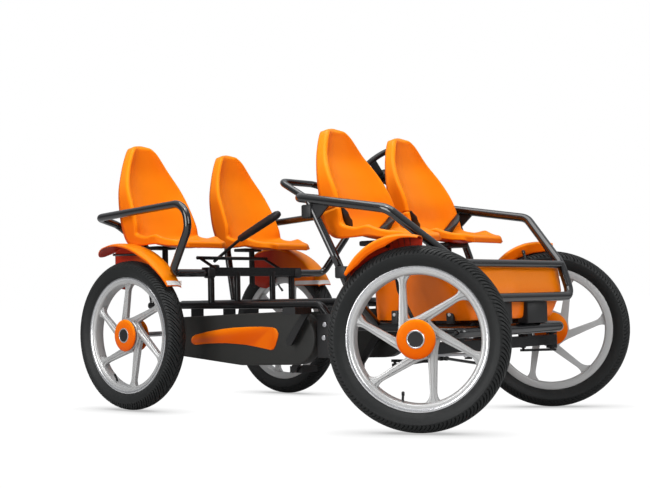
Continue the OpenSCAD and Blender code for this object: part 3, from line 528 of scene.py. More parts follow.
def spoke_mesh():
    verts = []
    for y in STATIONS:
        taper = min(1.0, max(0.0, (y - 40) / 125))
        hub_flare = 22 * max(0.0, 1 - y / 48) ** 2
        rim_flare = 30 * max(0.0, (y - 160) / 36) ** 2.6
        w = ROOT_WIDTH + (TIP_WIDTH - ROOT_WIDTH) * taper + hub_flare + rim_flare
        h, top = w / 2, (12.5 if y > 60 else 14.5)
        rib = max(3.4, w * 0.20 - 0.6)
        right = [(h - 1.5, -11), (h, -9), (h, 5.0), (h - 1.6, 7.0), (rib + 2.2, 7.6), (rib, top - 1.2),
                 (rib - 1.3, top)]
        section = right + [(-x, z) for x, z in reversed(right)]
        verts += [Vector((SPOKE_OFFSET + x, y, z)) for x, z in section]
    n, rows = len(section), len(STATIONS)
    ends = [list(range(n)), list(range((rows - 1) * n, rows * n))[::-1]]
    return verts, grid_faces(rows, n, wrap=True) + ends


for key, (*place, body) in WHEELS.items():
    rim_v, rim_f = lathe(RIM, 144, closed=True)
    cast = Build().add(rim_v, rim_f)
    lip = [1 if LIP_FROM <= i % len(RIM) < LIP_TO else 0 for i in range(len(rim_f))]
    spoke_v, spoke_f = spoke_mesh()
    for i in range(SPOKES):
        turned = Matrix.Rotation(i * 2 * math.pi / SPOKES, 4, "Z")
        cast.add([turned @ p for p in spoke_v], spoke_f)
    cast.add(*lathe(HUB, 64)).placed(stand(*place))
    lip += [0] * (len(cast.faces) - len(lip))
    piece("wheel_" + key + "_cast", cast, [CAST, LIP], body, ["wheel_" + key],
          sharp=32, face_mats=lip)
print("cast wheels:", len(WHEELS))

# %% [markdown]
# ## Hub covers and valves
# The orange cover is a shallow lathe shape with a soft shoulder. A plain black disc in a bright ring sits
# in its middle. A short valve stem leans in from each rim: small, but the eye looks for it on a real wheel.

# %% Hub covers and valve stems
COVER = [(0, 27), (58, 27), (61, 28), (62, 30), (61.5, 32), (59, 34.2), (52, 35.6), (40, 36.6), (30, 37.0),
         (0, 37.2)]
RING = [(24.2, 37.0), (24.2, 38.6), (25.2, 39.4), (27.2, 39.4), (28.4, 38.4), (28.6, 37.0)]
DISC = [(0, 38.2), (24.4, 38.2)]
BACK = [(18, -33), (60, -33), (62, -34.5), (62, -36.5), (60, -38), (18, -38)]
STEM = [(-52, -193, 2), (-50, -182, 9), (-47, -170, 18)]
STEM_CAP = [(-47.3, -172, 17), (-45.5, -163, 24)]
for key, (*place, body) in WHEELS.items():
    upright = stand(*place)
    cover = Build().add(*lathe(COVER, 72)).add(*lathe(BACK, 72, closed=True)).placed(upright)
    piece("cap_" + key + "_cover", cover, ORANGE, body, ["cap_" + key])
    ring = Build().add(*lathe(RING, 64)).placed(upright)
    piece("badge_ring_" + key, ring, LIP, body)
    disc = Build().add(*lathe(DISC, 64)).placed(upright)
    piece("badge_disc_" + key, disc, PLASTIC, body)
    stem = Build().add(*sweep([Vector(p) for p in STEM], 4.0, 14))
    stem.add(*sweep([Vector(p) for p in STEM_CAP], 5.0, 14)).placed(upright)
    piece("valve_" + key, stem, PLASTIC, body)
print("hub covers and valves:", len(WHEELS))

# %% [markdown]
# ## Moulded seats
# A moulded seat is one skin that bends from the back into the base. We draw the line down its middle and
# give each point of that line a half width, a lift at the sides and a depth for the folded edge. One
# function then answers every question: which point lies at station t along the line and at u across it.
# Inside u = 1 it is the seat, beyond that the edge rolls over and folds back, and the roll is what catches
# the light.

# %% The seat surface
MID_BASE = [(-16, 18), (50, -4), (118, -10), (170, 2), (198, 10), (215, 8)]
MID_REAR = [(-152, 414), (-148, 409), (-144, 400), (-140, 372), (-128, 300), (-102, 220), (-72, 140),
            (-46, 70)] + MID_BASE
MID_FRONT = [(-159, 398), (-155, 393), (-151, 385), (-147, 358), (-132, 289), (-99, 213), (-68, 138),
             (-49, 67)] + MID_BASE
HALF_W = [9, 27, 42, 64, 101, 134, 147, 154, 158, 160, 156, 138, 112, 88]
WING = [0, 2, 6, 14, 24, 34, 44, 48, 36, 36, 46, 16, 3, 0]
FOLD = [12, 15, 19, 24, 28, 42, 62, 66, 46, 24, 26, 18, 14, 12]
ROLL, WING_POWER, LAST = 13.0, 2.6, len(MID_REAR) - 1
# How far the edge has rolled, in degrees, and then how much of the fold is reached
ROLL_STEPS = [(18, 0), (38, 0), (58, 0), (76, 0), (90, 0), (90, 0.25), (90, 0.5), (90, 0.75), (90, 1.0)]


def curve_at(values, t):
    """A smooth value between listed ones."""
    i = max(0, min(len(values) - 2, int(t)))
    f = t - i
    p = [values[max(0, min(len(values) - 1, i + k))] for k in (-1, 0, 1, 2)]
    return 0.5 * (2 * p[1] + (p[2] - p[0]) * f + (2 * p[0] - 5 * p[1] + 4 * p[2] - p[3]) * f * f
                  + (3 * p[1] - p[0] - 3 * p[2] + p[3]) * f ** 3)


def seat_line(mid, t):
    """The middle point at station t and the direction that faces the rider there."""
    xs, zs = [p[0] for p in mid], [p[1] for p in mid]
    e = 0.04
    dx = curve_at(xs, t + e) - curve_at(xs, t - e)
    dz = curve_at(zs, t + e) - curve_at(zs, t - e)
    return Vector((curve_at(xs, t), 0, curve_at(zs, t))), Vector((-dz, 0, dx)).normalized()


def seat_point(mid, t, u, lift=0.0):
    """The point at station t and share u of the half width, lifted off the skin."""
    c, up = seat_line(mid, t)
    rise = curve_at(WING, t) * abs(u) ** WING_POWER + lift
    return c + up * rise + Vector((0, curve_at(HALF_W, t) * u, 0))


def seat_mesh(mid, t0, t1, open_start=False, open_end=False, rows=72, cols=32, curl=0.0, power=2.0):
    """The skin between two stations. Its border is rolled, except along an open end, which may curl up."""
    grid, normals, folds = [], [], []
    for i in range(rows + 1):
        stations = []
        for j in range(cols + 1):
            up_by = curl * abs(-1 + 2 * j / cols) ** power
            first = t0 - (up_by if open_start else 0)
            final = t1 - (up_by if open_end else 0)
            stations.append(first + (final - first) * i / rows)
        grid.append([seat_point(mid, t, -1 + 2 * j / cols) for j, t in enumerate(stations)])
        normals.append([seat_line(mid, t)[1] for t in stations])
        folds.append([curve_at(FOLD, t) for t in stations])
    n = cols + 1
    verts = [p for row in grid for p in row]
    faces = grid_faces(rows + 1, n)
    near, far = [(i, 0) for i in range(rows + 1)], [(i, cols) for i in range(rows, -1, -1)]
    front = [(rows, j) for j in range(1, cols)]
    top = [(0, j) for j in range(cols - 1, 0, -1)]
    whole = not (open_start or open_end)
    loop = near + front + far + (top if whole else [])
    if open_end:
        loop = far + top + near
    m = len(loop)

    def at(k):
        return k % m if whole else max(0, min(m - 1, k))

    rim = [grid[i][j] for i, j in loop]
    outs = []
    for k, (i, j) in enumerate(loop):
        inner = grid[min(max(i, 2), rows - 2)][min(max(j, 3), cols - 3)]
        out = (rim[at(k + 1)] - rim[at(k - 1)]).normalized().cross(normals[i][j]).normalized()
        outs.append(out if out.dot(rim[k] - inner) >= 0 else -out)
    smooth = [sum((outs[at(k + q)] for q in range(-4, 5)), Vector()).normalized() for k in range(m)]
    last = [i * n + j for i, j in loop]
    for roll, fold in ROLL_STEPS:
        ring, q = [], math.radians(roll)
        for k, (i, j) in enumerate(loop):
            out_by = ROLL * math.sin(q) + 2.0 * fold
            down_by = ROLL * (1 - math.cos(q)) + folds[i][j] * fold
            ring.append(len(verts))
            verts.append(rim[k] + smooth[k] * out_by - normals[i][j] * down_by)
        faces += [[last[k], last[(k + 1) % m], ring[(k + 1) % m], ring[k]]
                  for k in range(m if whole else m - 1)]
        last = ring
    return verts, faces


def skin(obj, thickness, inner=0):
    """Gives a sheet its real thickness and, if asked, another material on the inner side."""
    mod = obj.modifiers.new("skin", "SOLIDIFY")
    mod.thickness, mod.offset = thickness, -1
    mod.material_offset = inner
    mod.material_offset_rim = 0


def seat_piece(name, place, mesh, nodes):
    moved = Build().add(*mesh).placed(Matrix.Translation(place))
    skin(on_frame(name, moved, ORANGE, nodes, sharp=80), 0.005)


REAR_SEAT = (0, 250, 643)
for name, side in SIDES:
    seat_piece("rear_seat_" + name + "_moulded", (REAR_SEAT[0], side * REAR_SEAT[1], REAR_SEAT[2]),
               seat_mesh(MID_REAR, 0, LAST), ["rear_seat_" + name])
print("rear seats: 2")

# %% [markdown]
# ## Front seats
# The front seats are the same form in two mouldings that fold together. At the sides their ends curl up,
# the back sooner than the base, and that leaves a gap on each side. A domed black hinge cover stands in it.
# It is a patch of the seat surface, lifted most in its middle, with its rim pressed down on the skin.

# %% Front seats and their hinge covers
FRONT_SEAT = (1010, 196, 628)
BACK_END, BACK_CURL, BACK_POWER = 7.96, 1.35, 2.0
BASE_START, BASE_CURL, BASE_POWER = 8.06, 1.44, 7.0
COVER_FROM, COVER_RISE, COVER_SINK = 0.52, 30.0, 2.0


def hinge_cover(mid, side, across=26, along=16):
    """A domed ear in the gap that the curled ends of back and base leave at the sides."""
    verts = []
    for j in range(across + 1):
        u = COVER_FROM + (1 - COVER_FROM) * j / across
        top = BACK_END - BACK_CURL * u ** BACK_POWER - 0.03
        low = BASE_START - BASE_CURL * u ** BASE_POWER + 0.03
        ends = min(1.0, 3 * j / across, 3.2 * (1 - j / across) + 0.2)
        for i in range(along + 1):
            dome = (math.sin(math.pi * i / along) * ends) ** 0.6 if 0 < i < along else 0.0
            p = seat_point(mid, top + (low - top) * i / along, u, COVER_RISE * dome - COVER_SINK)
            verts.append(Vector((p.x, side * p.y, p.z)))
    return verts, grid_faces(across + 1, along + 1)


for name, side in SIDES:
    place = (FRONT_SEAT[0], side * FRONT_SEAT[1], FRONT_SEAT[2])
    back = seat_mesh(MID_FRONT, 0, BACK_END, open_end=True, curl=BACK_CURL, power=BACK_POWER)
    seat_piece("front_back_" + name, place, back, ["front_seat_backs"])
    base = seat_mesh(MID_FRONT, BASE_START, LAST, open_start=True, rows=44, curl=BASE_CURL, power=BASE_POWER)
    seat_piece("front_base_" + name, place, base, ["front_seat_bases"])
    covers = Build().add(*hinge_cover(MID_FRONT, -1)).add(*hinge_cover(MID_FRONT, 1))
    covers.placed(Matrix.Translation(place))
    skin(on_frame("hinge_covers_" + name, covers, PLASTIC, ["front_seat_hinges"], sharp=70),
         0.003)
print("front seats: 2 backs, 2 bases, 4 hinge covers")

# %% [markdown]
# ## Fenders
# A fender is a channel bent round the wheel: a shallow outer wall, an arched crown and an inner wall that
# can hang much lower. We walk along the arc and drop one row of points across the section at each step. The
# lower edges come from short lists of points. The inside is painted shade: a second, deeper orange, since
# light in there has bounced between walls.

# %% The fender channel
ACROSS, DOWN = 14, 6
SKIRT = (1.0, 0.66, 0.33, 0.1)
WALL_FROM = len(SKIRT) + ACROSS + 1
ROW = WALL_FROM + DOWN + 1
ARCH, LEDGE = 7.0, 1.5


def between(table, x):
    """A straight-line value from a sorted list of pairs."""
    for (x0, y0), (x1, y1) in zip(table, table[1:]):
        if x <= x1:
            return y0 + (y1 - y0) * max(0.0, (x - x0) / (x1 - x0))
    return table[-1][1]


def fender_mesh(crown, half, start, end, outer, inner, steps=72, taper=((0, 1), (180, 1))):
    """A channel about the Z axis, outer side at +Z. Its end has an angle for each edge and the middle."""
    verts = []
    bow = 4 * (end[1] - (end[0] + end[2]) / 2)
    for i in range(steps + 1):
        row = []
        for j in range(ACROSS + 1):
            k = j / ACROSS
            last_angle = end[0] + (end[2] - end[0]) * k + bow * k * (1 - k)
            angle = start * (1 - i / steps) + last_angle * i / steps
            a = math.radians(angle)
            wide = between(taper, angle) * half
            v = wide - (wide + half) * k
            r = between(crown, angle) - ARCH * abs(v / half) ** 3
            row.append(Vector((r * math.cos(a), r * math.sin(a), v)))
        first, last = row[0], row[-1]
        hang = between(outer, i / steps) / first.to_2d().length
        skirt = [Vector((first.x * (1 - hang * q), first.y * (1 - hang * q), first.z + LEDGE)) for q in SKIRT]
        low = inner(last)
        drop = Vector((low[0] - last.x, low[1] - last.y, 0)) / DOWN
        top = Vector((last.x, last.y, -half - LEDGE))
        wall = [top + drop * q for q in (0.3, *range(1, DOWN + 1))]
        verts += skirt + row + wall
    return verts, [f[::-1] for f in grid_faces(steps + 1, ROW)]


def strip_faces(count):
    """Faces of a strip whose points come in pairs."""
    return [[2 * i, 2 * i + 1, 2 * i + 3, 2 * i + 2] for i in range(count)]


UPRIGHT = Matrix.Rotation(math.radians(90), 4, "X")
THIN = 0.0035
print("a fender row has", ROW, "points")

# %% [markdown]
# ## Rear fenders
# The inner wall of a rear fender shows through the seat frame, dark at the back where the seat shades it
# and bright at the front, so it gets a painted shadow that gives way to orange along the kart. A pale stripe
# runs along the wall's lower edge and over the crown.

# %% Rear fenders with a pale stripe
REAR_FENDER, REAR_HALF = (-45, 443.5, 308), 46
REAR_CROWN = [(20, 337), (60, 338), (95, 342), (104, 339), (115, 328)]
REAR_LOW = [(-150, 250), (-128, 212), (-104, 182), (-68, 164), (-30, 158), (-8, 166), (10, 216), (112, 222),
            (132, 176), (150, 168), (320, 166)]
REAR_HANG, REAR_ENDS = [(0, 4), (0.5, 10), (1, 3)], (103, 116, 108)
REAR_TAPER = ((30, 0.55), (46, 0.86), (60, 1))
STRIPE_R, STRIPE_ANGLES, STRIPE_EDGE = 338.2, (30.6, 33.9), 24
STRIPE_X, STRIPE_Z = (148, 287), (171, 188)
STAY_X, STAY_Z = (-106, 36), (607, 603)


def rear_wall(p):
    """The lower edge of the inner wall below a point of the crown."""
    return p.x, min(p.y - 4, between(REAR_LOW, p.x))


def stripe_point(v, angle):
    r, a = STRIPE_R - ARCH * abs(v / REAR_HALF) ** 3, math.radians(angle)
    return Vector((r * math.cos(a), r * math.sin(a), v))


for name, side in SIDES:
    centre = metre((REAR_FENDER[0], side * REAR_FENDER[1], REAR_FENDER[2]))
    put = Matrix.Translation(centre) @ Matrix.Scale(-side, 4, (0, 1, 0)) @ UPRIGHT @ Matrix.Scale(0.001, 4)
    channel = fender_mesh(REAR_CROWN, REAR_HALF, 30, REAR_ENDS, REAR_HANG, rear_wall, taper=REAR_TAPER)
    strip = Build().add(*channel).placed(put)
    # The faces of the inner wall get the painted shadow.
    wall = [2 if min(f) % ROW >= WALL_FROM else 0 for f in strip.faces]
    sheet = piece("rear_fender_" + name, strip, [ORANGE, INSIDE_SHADE, WALL_SHADE], "frame",
                  ["rear_fenders"], sharp=60, face_mats=wall)
    skin(sheet, THIN, inner=1)
    lengths = [STRIPE_X[0] + (STRIPE_X[1] - STRIPE_X[0]) * i / 12 for i in range(13)]
    band = Build().add([Vector((x, z, -REAR_HALF - 2.6)) for x in lengths for z in STRIPE_Z], strip_faces(12))
    widths = [STRIPE_EDGE - (STRIPE_EDGE + REAR_HALF) * i / 10 for i in range(11)]
    band.add([stripe_point(v, angle) for v in widths for angle in STRIPE_ANGLES], strip_faces(10)).placed(put)
    piece("fender_stripe_" + name, band, STRIPE, "frame", sharp=60)
    stay = Build().add(*sweep([Vector((x, side * 440, z)) for x, z in zip(STAY_X, STAY_Z)], 5, 14))
    on_frame("fender_bar_" + name, stay, BLACK, ["fender_stays"], sharp=50)
print("rear fenders: 2")

# %% [markdown]
# ## Front fenders
# The front fenders are shorter and steer with the wheels, so they ride on the knuckles. Thin ribs stiffen
# the inner wall and show as dark lines under the crown.

# %% Front fenders with ribs
FRONT_HALF, FRONT_WALL_R, FRONT_OUT = 38, 288.0, 0.014
FRONT_CROWN = [(84, 316), (88, 321), (92, 325), (98, 330), (105, 333), (112, 332), (119, 328.5), (126, 322),
               (132, 314), (139, 303)]
FRONT_HANG = [(0, 2), (0.2, 8), (0.4, 26), (0.8, 24), (1, 8)]
FRONT_START, FRONT_END = 87, 137
RIB_ANGLES, RIB_WIDTH, RIB_Z = (94, 97.5, 101, 104.5, 108), 0.6, -36.0


def front_wall(p):
    """The inner wall of a front fender hangs down to one radius."""
    return tuple(p.to_2d() * (FRONT_WALL_R / p.to_2d().length))


for key, body in (("fr", "knuckle_right"), ("fl", "knuckle_left")):
    hub, side, turn = WHEELS[key][:3]
    at_hub = Matrix.Translation(metre(hub)) @ Matrix.Rotation(turn, 4, "Z")
    put = (at_hub @ Matrix.Translation((0, side * FRONT_OUT, 0)) @ Matrix.Scale(-side, 4, (0, 1, 0)) @ UPRIGHT
           @ Matrix.Scale(0.001, 4))
    channel = fender_mesh(FRONT_CROWN, FRONT_HALF, FRONT_START, [FRONT_END] * 3, FRONT_HANG, front_wall, 48)
    strip = Build().add(*channel).placed(put)
    sheet = piece("front_fender_" + key, strip, [ORANGE, INSIDE_SHADE], body,
                  ["fender_" + key], sharp=60)
    skin(sheet, THIN, inner=1)
    ribs = Build()
    for angle in RIB_ANGLES:
        turns = [math.radians(angle), math.radians(angle + RIB_WIDTH)]
        ends = (FRONT_WALL_R + 1.5, between(FRONT_CROWN, angle) - 10)
        corners = [Vector((r * math.cos(q), r * math.sin(q), RIB_Z)) for q in turns for r in ends]
        ribs.add(corners, strip_faces(1))
    ribs.placed(put)
    piece("fender_ribs_" + key, ribs, PLASTIC, body, sharp=60)
print("front fenders: 2")

# %% [markdown]
# ## Bent tubes
# The rail, the armrests, the handle and the posts are bent steel tube. One smooth sweep replaces the
# straight lengths and elbows of the exact solids, so that a highlight runs through every bend without a
# break.

# %% Rails, armrests and posts
RAIL_SIDE = [(854, -428, 771), (1262, -427, 706), (1460, -326, 524), (1503, -314, 411)]
RAIL = RAIL_SIDE + [(x, -y, z) for x, y, z in reversed(RAIL_SIDE)]
RAIL_BENDS = [55, 70, 90, 45, 45, 90, 70, 55]
ARMREST = [(236, -250, 526), (232, -434, 526), (356, -462, 690), (340, -462, 785), (-176, -458, 757),
           (-215, -330, 735), (-150, -232, 640), (-110, -232, 412)]
ARMREST_BENDS = [0, 34, 60, 68, 40, 40, 40, 0]
GRAB = [(852, -350.4, 768), (708, -338, 842), (708, -138, 842), (852, -125.6, 768)]
POST = [(924, -428, 758), (1018, -404, 560), (1044, -352, 430), (1051, -224, 325)]
FOOT = [(1388, -348, 304), (1450, -330, 304), (1450, 330, 304), (1388, 348, 304)]
CROSS = [RAIL_SIDE[2], (RAIL_SIDE[2][0], -RAIL_SIDE[2][1], RAIL_SIDE[2][2])]


def bent(path, r, bend, closed=False):
    """One swept tube, as a build."""
    return Build().add(*sweep(rounded_path(path, bend, closed), r, 28, closed))


def tube(name, build, node_name):
    on_frame(name, build, BLACK, [node_name], sharp=50)


foot_bar, cross_bar = bent(FOOT, 19, 40), bent(CROSS, 14, 30)
tube("rail_loop", bent(RAIL, 16, RAIL_BENDS, closed=True), "surround_rail")
tube("armrest_loops", bent(ARMREST, 15, ARMREST_BENDS).mirrored(), "armrests")
tube("grab_bar", bent(GRAB, 12, 38), "grab_handle")
tube("bent_posts", bent(POST, 14, 45).mirrored(), "rail_posts")
tube("cross_bars", foot_bar.add(cross_bar.verts, cross_bar.faces), "front_bars")
print("tubes swept: 5 pieces")

# %% [markdown]
# ## The tub between the front wheels
# The tub is a loft: one outline at the floor, one at the rim, and levels between them. Its front leans like
# the rail before it and has a soft belly, which shades the reflection. Small tabs with bolts hold its
# floor.

# %% The tub and its fixing tabs
RIM_LINE = [(1030, 0), (1030, 150), (1034, 205), (1052, 232), (1100, 250), (1180, 284), (1238, 314),
            (1300, 334), (1390, 362), (1424, 353), (1436, 326), (1437, 200), (1438, 90), (1441, 0)]
FLOOR_LINE = [(1012, 0), (1012, 130), (1016, 172), (1034, 198), (1100, 216), (1180, 236), (1238, 250),
              (1300, 256), (1400, 256), (1440, 252), (1454, 236), (1457, 160), (1459, 80), (1462, 0)]
# For each level: height, share of the way from floor to rim, and belly of the front
LEVELS = [(340, 0.0, 0), (343, 0.02, 4), (352, 0.08, 9), (372, 0.22, 14), (400, 0.42, 20), (430, 0.66, 26),
          (466, 0.82, 16), (500, 0.93, 5), (526, 1.0, 0), (531, 1.02, 0)]
TUB_TABS = ((1150, 250), (1388, 268))


def bolt_heads(profile, steps, spots_on_side):
    """Bolt heads that face outward on both sides of the kart."""
    heads = Build()
    head, faces = lathe(profile, steps)
    for x, y, z in spots_on_side:
        turn = Matrix.Translation((x, -y, z)) @ UPRIGHT
        heads.add([turn @ p for p in head], faces)
    return heads.mirrored()


tub = Build()
for z, share, belly in LEVELS:
    xs = [a[0] + (b[0] - a[0]) * share + belly * step(a[0], 1300, 1440) for a, b in zip(FLOOR_LINE, RIM_LINE)]
    ys = [a[1] + (b[1] - a[1]) * share for a, b in zip(FLOOR_LINE, RIM_LINE)]
    half_ring = [(curve_at(xs, k / 4), max(0.0, curve_at(ys, k / 4))) for k in range(4 * (len(xs) - 1) + 1)]
    ring = [(x, -y) for x, y in half_ring] + [(x, y) for x, y in reversed(half_ring[1:-1])]
    tub.add([(x, y, z) for x, y in ring], [])
tub.faces = grid_faces(len(LEVELS), len(ring), wrap=True) + [list(range(len(ring)))[::-1]]
# Inside, the tub shell gets the deep red-orange of painted shade.
skin(on_frame("tub_shell", tub, [TUB, INSIDE_SHADE], ["tub"], sharp=50), 0.004, inner=1)
tabs = Build()
for x, y in TUB_TABS:
    tabs.add(*rounded_box((x - 14, y - 6, 330), (x + 14, y + 6, 374), 3))
on_frame("tub_tabs", tabs.mirrored(), PLASTIC)
bolts = bolt_heads([(0, 3), (5, 3), (6, 2), (6, 0)], 18, [(x, y + 6, 360) for x, y in TUB_TABS])
on_frame("tub_bolts", bolts, ZINC)
print("tub levels:", len(LEVELS))

# %% [markdown]
# ## Mounts, clamps and small fittings
# Seats stand on slim posts with thin pads, and clamps hold the tubes together. They are small boxes with
# cut edges and short turned pins. Seen from a step away they read as grips and brackets, and they explain
# how it all holds together.

# %% Mounts, clamps, lever and brackets


def box_on(y, half, x_span, z_span, cut):
    """A box across the line at y, cut edges included."""
    return rounded_box((x_span[0], y - half, z_span[0]), (x_span[1], y + half, z_span[1]), cut)


mounts = Build()
for name, side in SIDES:
    mounts.add(*sweep([Vector((-16, side * 249, 470)), Vector((-16, side * 249, 640))], 12, 18))
    mounts.add(*box_on(side * REAR_SEAT[1], 50, (-78, -2), (627, 641), 4))
    mounts.add(*sweep([Vector((1024, side * 252, 424)), Vector((1040, side * 226, 606))], 13, 18))
    mounts.add(*box_on(side * FRONT_SEAT[1], 64, (1004, 1110), (598, 616), 5))
on_frame("seat_posts", mounts, PLASTIC, ["seat_mounts"])

GUSSET = [(930, 752), (1024, 738), (968, 690)]
clamps = Build().add(*box_on(424, 20, (902, 946), (694, 740), 6))
clamps.add([(x, y, z) for y in (424, 432) for x, z in GUSSET],
           [[0, 1, 2], [5, 4, 3], [0, 3, 4, 1], [1, 4, 5, 2], [2, 5, 3, 0]])
clamps.add(*box_on(398, 24, (1028, 1076), (486, 526), 6))
clamps.add(*box_on(250, 18, (226, 260), (506, 545), 6))
on_frame("tube_clamps", clamps.mirrored(), PLASTIC)

GRIP = [(0, -2), (10, -2), (14, 4), (15.5, 40), (16.5, 100), (17, 190), (16, 225), (12, 238), (6, 243),
        (0, 244)]
LEVER_Y = -30
low, high = Vector((192, LEVER_Y, 666)), Vector((400, LEVER_Y, 752))
aim = Matrix.Translation(low) @ (high - low).to_track_quat("Z", "Y").to_matrix().to_4x4()
lever = Build().add(*lathe(GRIP, 24)).placed(aim)
lever.add(*sweep([Vector((40, LEVER_Y, 580)), low + (high - low) * 0.05], 6.5, 16))
lever.add(*box_on(LEVER_Y, 14, (22, 60), (528, 566), 6))
on_frame("brake_grip", lever, PLASTIC, ["brake_lever"], sharp=45)

brackets = Build().add(*box_on(114, 66, (1444, 1486), (322, 400), 6))
brackets.add(*box_on(195, 5, (1398, 1462), (300, 330), 2))
on_frame("bumper_plates", brackets.mirrored(), PLASTIC, ["bumper_brackets"])
print("fittings: 4 pieces")

# %% [markdown]
# ## Chain guards
# A guard is the outline round a few circles, like a belt round pulleys. Smaller circles give the same
# outline set inward, so the rounded edge is a few belts one after another. The orange blade on it is a
# listed outline, made thick and cut back a little at its outer edge.

# %% Chain guards and their blades
PULLEYS = [(715, 279, 97), (440, 224, 50), (112, 242, 40), (112, 316, 40)]
# Distance from the middle of the kart, and how far the outline is set inward there
GUARD_EDGE = ((239, 3), (240, 0), (276, 0), (279.5, 1.2), (281.5, 3.6), (282, 7))
BLADE = [(170, 269), (177, 279), (195, 287), (268, 300), (338, 309), (407, 315), (475, 318), (542, 319),
         (607, 317), (626, 311), (636, 294), (633, 278), (621, 250), (611, 237), (598, 234), (572, 238),
         (523, 245), (474, 251), (423, 254), (372, 256), (320, 256), (267, 254), (195, 248), (179, 252),
         (171, 259)]
BLADE_CUT = 2.0
PLATE_X, PLATE_Z, PLATE_Y, PLATE_HALF = (813, 892), (210, 365), 267, 5
PLATE_BOLTS = ((852, 327), (847, 280))


def turns_in(a, b, c):
    """Whether the walk from a over b to c leaves b inside the belt."""
    return (b[0] - a[0]) * (c[1] - a[1]) - (b[1] - a[1]) * (c[0] - a[0]) <= 0


def belt(inset, steps=48):
    """The outline round all pulleys, each made smaller by the inset."""
    turns = [2 * math.pi * i / steps for i in range(steps)]
    pts = sorted({(round(x + (r - inset) * math.cos(q), 3), round(z + (r - inset) * math.sin(q), 3))
                  for x, z, r in PULLEYS for q in turns})
    outline = []
    for run in (pts, pts[::-1]):
        half = []
        for p in run:
            while len(half) > 1 and turns_in(half[-2], half[-1], p):
                half.pop()
            half.append(p)
        outline += half[:-1]
    return outline


def even(line, count):
    """The same number of points on every outline, evenly spaced along it."""
    ends = line[1:] + line[:1]
    lengths = [math.dist(a, b) for a, b in zip(line, ends)]
    out, total = [], sum(lengths)
    for k in range(count):
        want, i = total * k / count, 0
        while want > lengths[i]:
            want -= lengths[i]
            i += 1
        q = want / lengths[i]
        out.append((line[i][0] + (ends[i][0] - line[i][0]) * q, line[i][1] + (ends[i][1] - line[i][1]) * q))
    return out


def layers(outlines):
    """Joins outlines at growing depth, closes both ends and adds the other side of the kart."""
    n, rows = len(outlines[0][1]), len(outlines)
    verts = [(x, -y, z) for y, line in outlines for x, z in line]
    ends = [list(range(n)), list(range((rows - 1) * n, rows * n))]
    return Build().add(verts, grid_faces(rows, n, wrap=True) + ends).mirrored()


def set_inward(line, by):
    """An outline drawn a little toward its middle."""
    middle = sum(line, Vector((0, 0))) / len(line)
    return [p + (middle - p).normalized() * by for p in line]


shells = layers([(y, even(belt(inset), 160)) for y, inset in GUARD_EDGE])
on_frame("guard_shells", shells, GUARD, ["chain_guards"])
blade_line = [Vector(p) for p in BLADE]
blades = layers([(281, blade_line), (284, blade_line), (285, set_inward(blade_line, BLADE_CUT))])
on_frame("guard_blades", blades, ORANGE, ["guard_inserts"])
plates = Build().add(*box_on(-PLATE_Y, PLATE_HALF, PLATE_X, PLATE_Z, 3)).mirrored()
on_frame("step_plates", plates, PLASTIC)
bolt_places = [(x, PLATE_Y + PLATE_HALF, z) for x, z in PLATE_BOLTS]
on_frame("step_bolts", bolt_heads([(0, 5), (7, 5), (9, 3), (9, 0)], 24, bolt_places), ZINC)
print("guards: 2 shells, 2 blades, 2 plates")

# %% [markdown]
# ## Floor and backdrop
# The kart stands in a white room. For the camera the floor is plain white that only darkens close to the
# tyres, where the ambient occlusion node finds something near. All other rays meet a pale grey floor, so it
# adds no light of its own. The backdrop is white for the camera in the same way.

# %% Floor and backdrop
FLOOR_Z, FLOOR_REACH = -0.001, ((-40, -40), (40, -40), (40, 60), (-40, 60))
floor_mesh = bpy.data.meshes.new("floor")
floor_mesh.from_pydata([(x, y, FLOOR_Z) for x, y in FLOOR_REACH], [], [[0, 1, 2, 3]])
floor = bpy.data.objects.new("floor", floor_mesh)
bpy.context.scene.collection.objects.link(floor)
pale = bpy.data.materials.new("pale_floor")
pale.use_nodes = True
t = pale.node_tree
p = t.nodes["Principled BSDF"]
p.inputs["Base Color"].default_value = (0.50, 0.50, 0.50, 1)
p.inputs["Roughness"].default_value = 0.9
p.inputs["Specular IOR Level"].default_value = 0.0
near = node(t, "AmbientOcclusion", {"Distance": 0.16}, samples=16)
shade = ramp(t, near.outputs["AO"], 0.3, 0.97, 0.5, 1.04)
white = node(t, "Emission", {"Color": (1, 1, 1, 1), "Strength": shade})
camera_ray = node(t, "LightPath").outputs["Is Camera Ray"]
mix = node(t, "MixShader", {0: camera_ray, 1: p.outputs["BSDF"], 2: white.outputs["Emission"]})
t.links.new(mix.outputs["Shader"], t.nodes["Material Output"].inputs["Surface"])
floor_mesh.materials.append(pale)

world = bpy.data.worlds.new("studio")
bpy.context.scene.world = world
world.use_nodes = True
t = world.node_tree
sky = t.nodes["Background"]
sky.inputs["Color"].default_value = (0.95, 0.97, 1.0, 1)
height = axis(t, node(t, "TexCoord").outputs["Generated"], "Z")
t.links.new(ramp(t, height, 0.0, 0.8, 0.12, 0.62), sky.inputs["Strength"])
shown = node(t, "Background", {"Color": (1, 1, 1, 1), "Strength": 1.0})
camera_ray = node(t, "LightPath").outputs["Is Camera Ray"]
mix = node(t, "MixShader", {0: camera_ray, 1: sky.outputs["Background"], 2: shown.outputs["Background"]})
t.links.new(mix.outputs["Shader"], t.nodes["World Output"].inputs["Surface"])
print("floor and backdrop are white for the camera")

# %% [markdown]
# ## Lights
# Large lights make soft shadows and broad highlights, as in a studio with white screens. One hangs
# overhead, one fills from the camera side and two stand in front. A small one above draws a thin bright
# line on the black tubes.

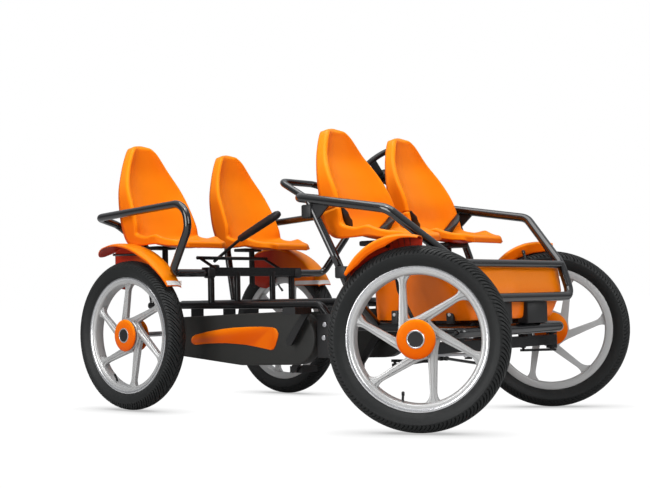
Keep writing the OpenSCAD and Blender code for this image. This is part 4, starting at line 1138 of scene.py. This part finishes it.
# %% Lights
# For each light: place, aim, size in metres and power in watts
LIGHTS = {
    "overhead": ((0.2, -0.6, 3.6), (0, 0, 0.4), 3.2, 84),
    "spark": ((0.7, -1.3, 3.2), (0.1, 0, 0.5), 0.55, 13),
    "camera_side": ((-0.4, -4.4, 1.35), (0, 0, 0.5), 2.4, 104),
    "front": ((4.4, -1.2, 1.9), (0.2, 0, 0.6), 2.2, 72),
    "front_left": ((4.0, 2.6, 1.5), (0.6, 0, 0.5), 1.6, 26),
}
for name, (place, aim, size, power) in LIGHTS.items():
    lamp = bpy.data.lights.new(name, "AREA")
    lamp.energy, lamp.size = power, size
    obj = bpy.data.objects.new(name, lamp)
    obj.location = place
    obj.rotation_euler = (Vector(aim) - Vector(place)).to_track_quat("-Z", "Y").to_euler()
    bpy.context.scene.collection.objects.link(obj)
print("lights:", ", ".join(LIGHTS))

# %% [markdown]
# ## Camera
# The camera stands where the photograph was taken from. Its place, turn and lens come from the wheel
# circles in the picture. It looks up by a hair and leans by one degree, so we build its axes one by one.

# %% Camera
CAMERA_AT = (2.8855, -3.408, 0.430)
YAW, PITCH, ROLL_ANGLE = math.radians(40.917), math.radians(-2.508), math.radians(-1.119)
FOCUS_PX, PICTURE_PX, SENSOR = 1173.6, 650.0, 36.0
cam = bpy.data.cameras.new("camera")
cam.sensor_width, cam.sensor_fit = SENSOR, "HORIZONTAL"
cam.lens = FOCUS_PX * SENSOR / PICTURE_PX
shot = bpy.data.objects.new("camera", cam)
bpy.context.scene.collection.objects.link(shot)
look = Vector((-math.sin(YAW) * math.cos(PITCH), math.cos(YAW) * math.cos(PITCH), -math.sin(PITCH)))
level = Vector((math.cos(YAW), math.sin(YAW), 0))
up = level.cross(look)
right = math.cos(ROLL_ANGLE) * level + math.sin(ROLL_ANGLE) * up
top = math.cos(ROLL_ANGLE) * up - math.sin(ROLL_ANGLE) * level
shot.matrix_world = Matrix.Translation(CAMERA_AT) @ Matrix((right, top, -look)).transposed().to_4x4()
bpy.context.scene.camera = shot
bpy.context.scene.view_settings.view_transform = "Standard"
print("camera lens %.1f mm" % cam.lens)
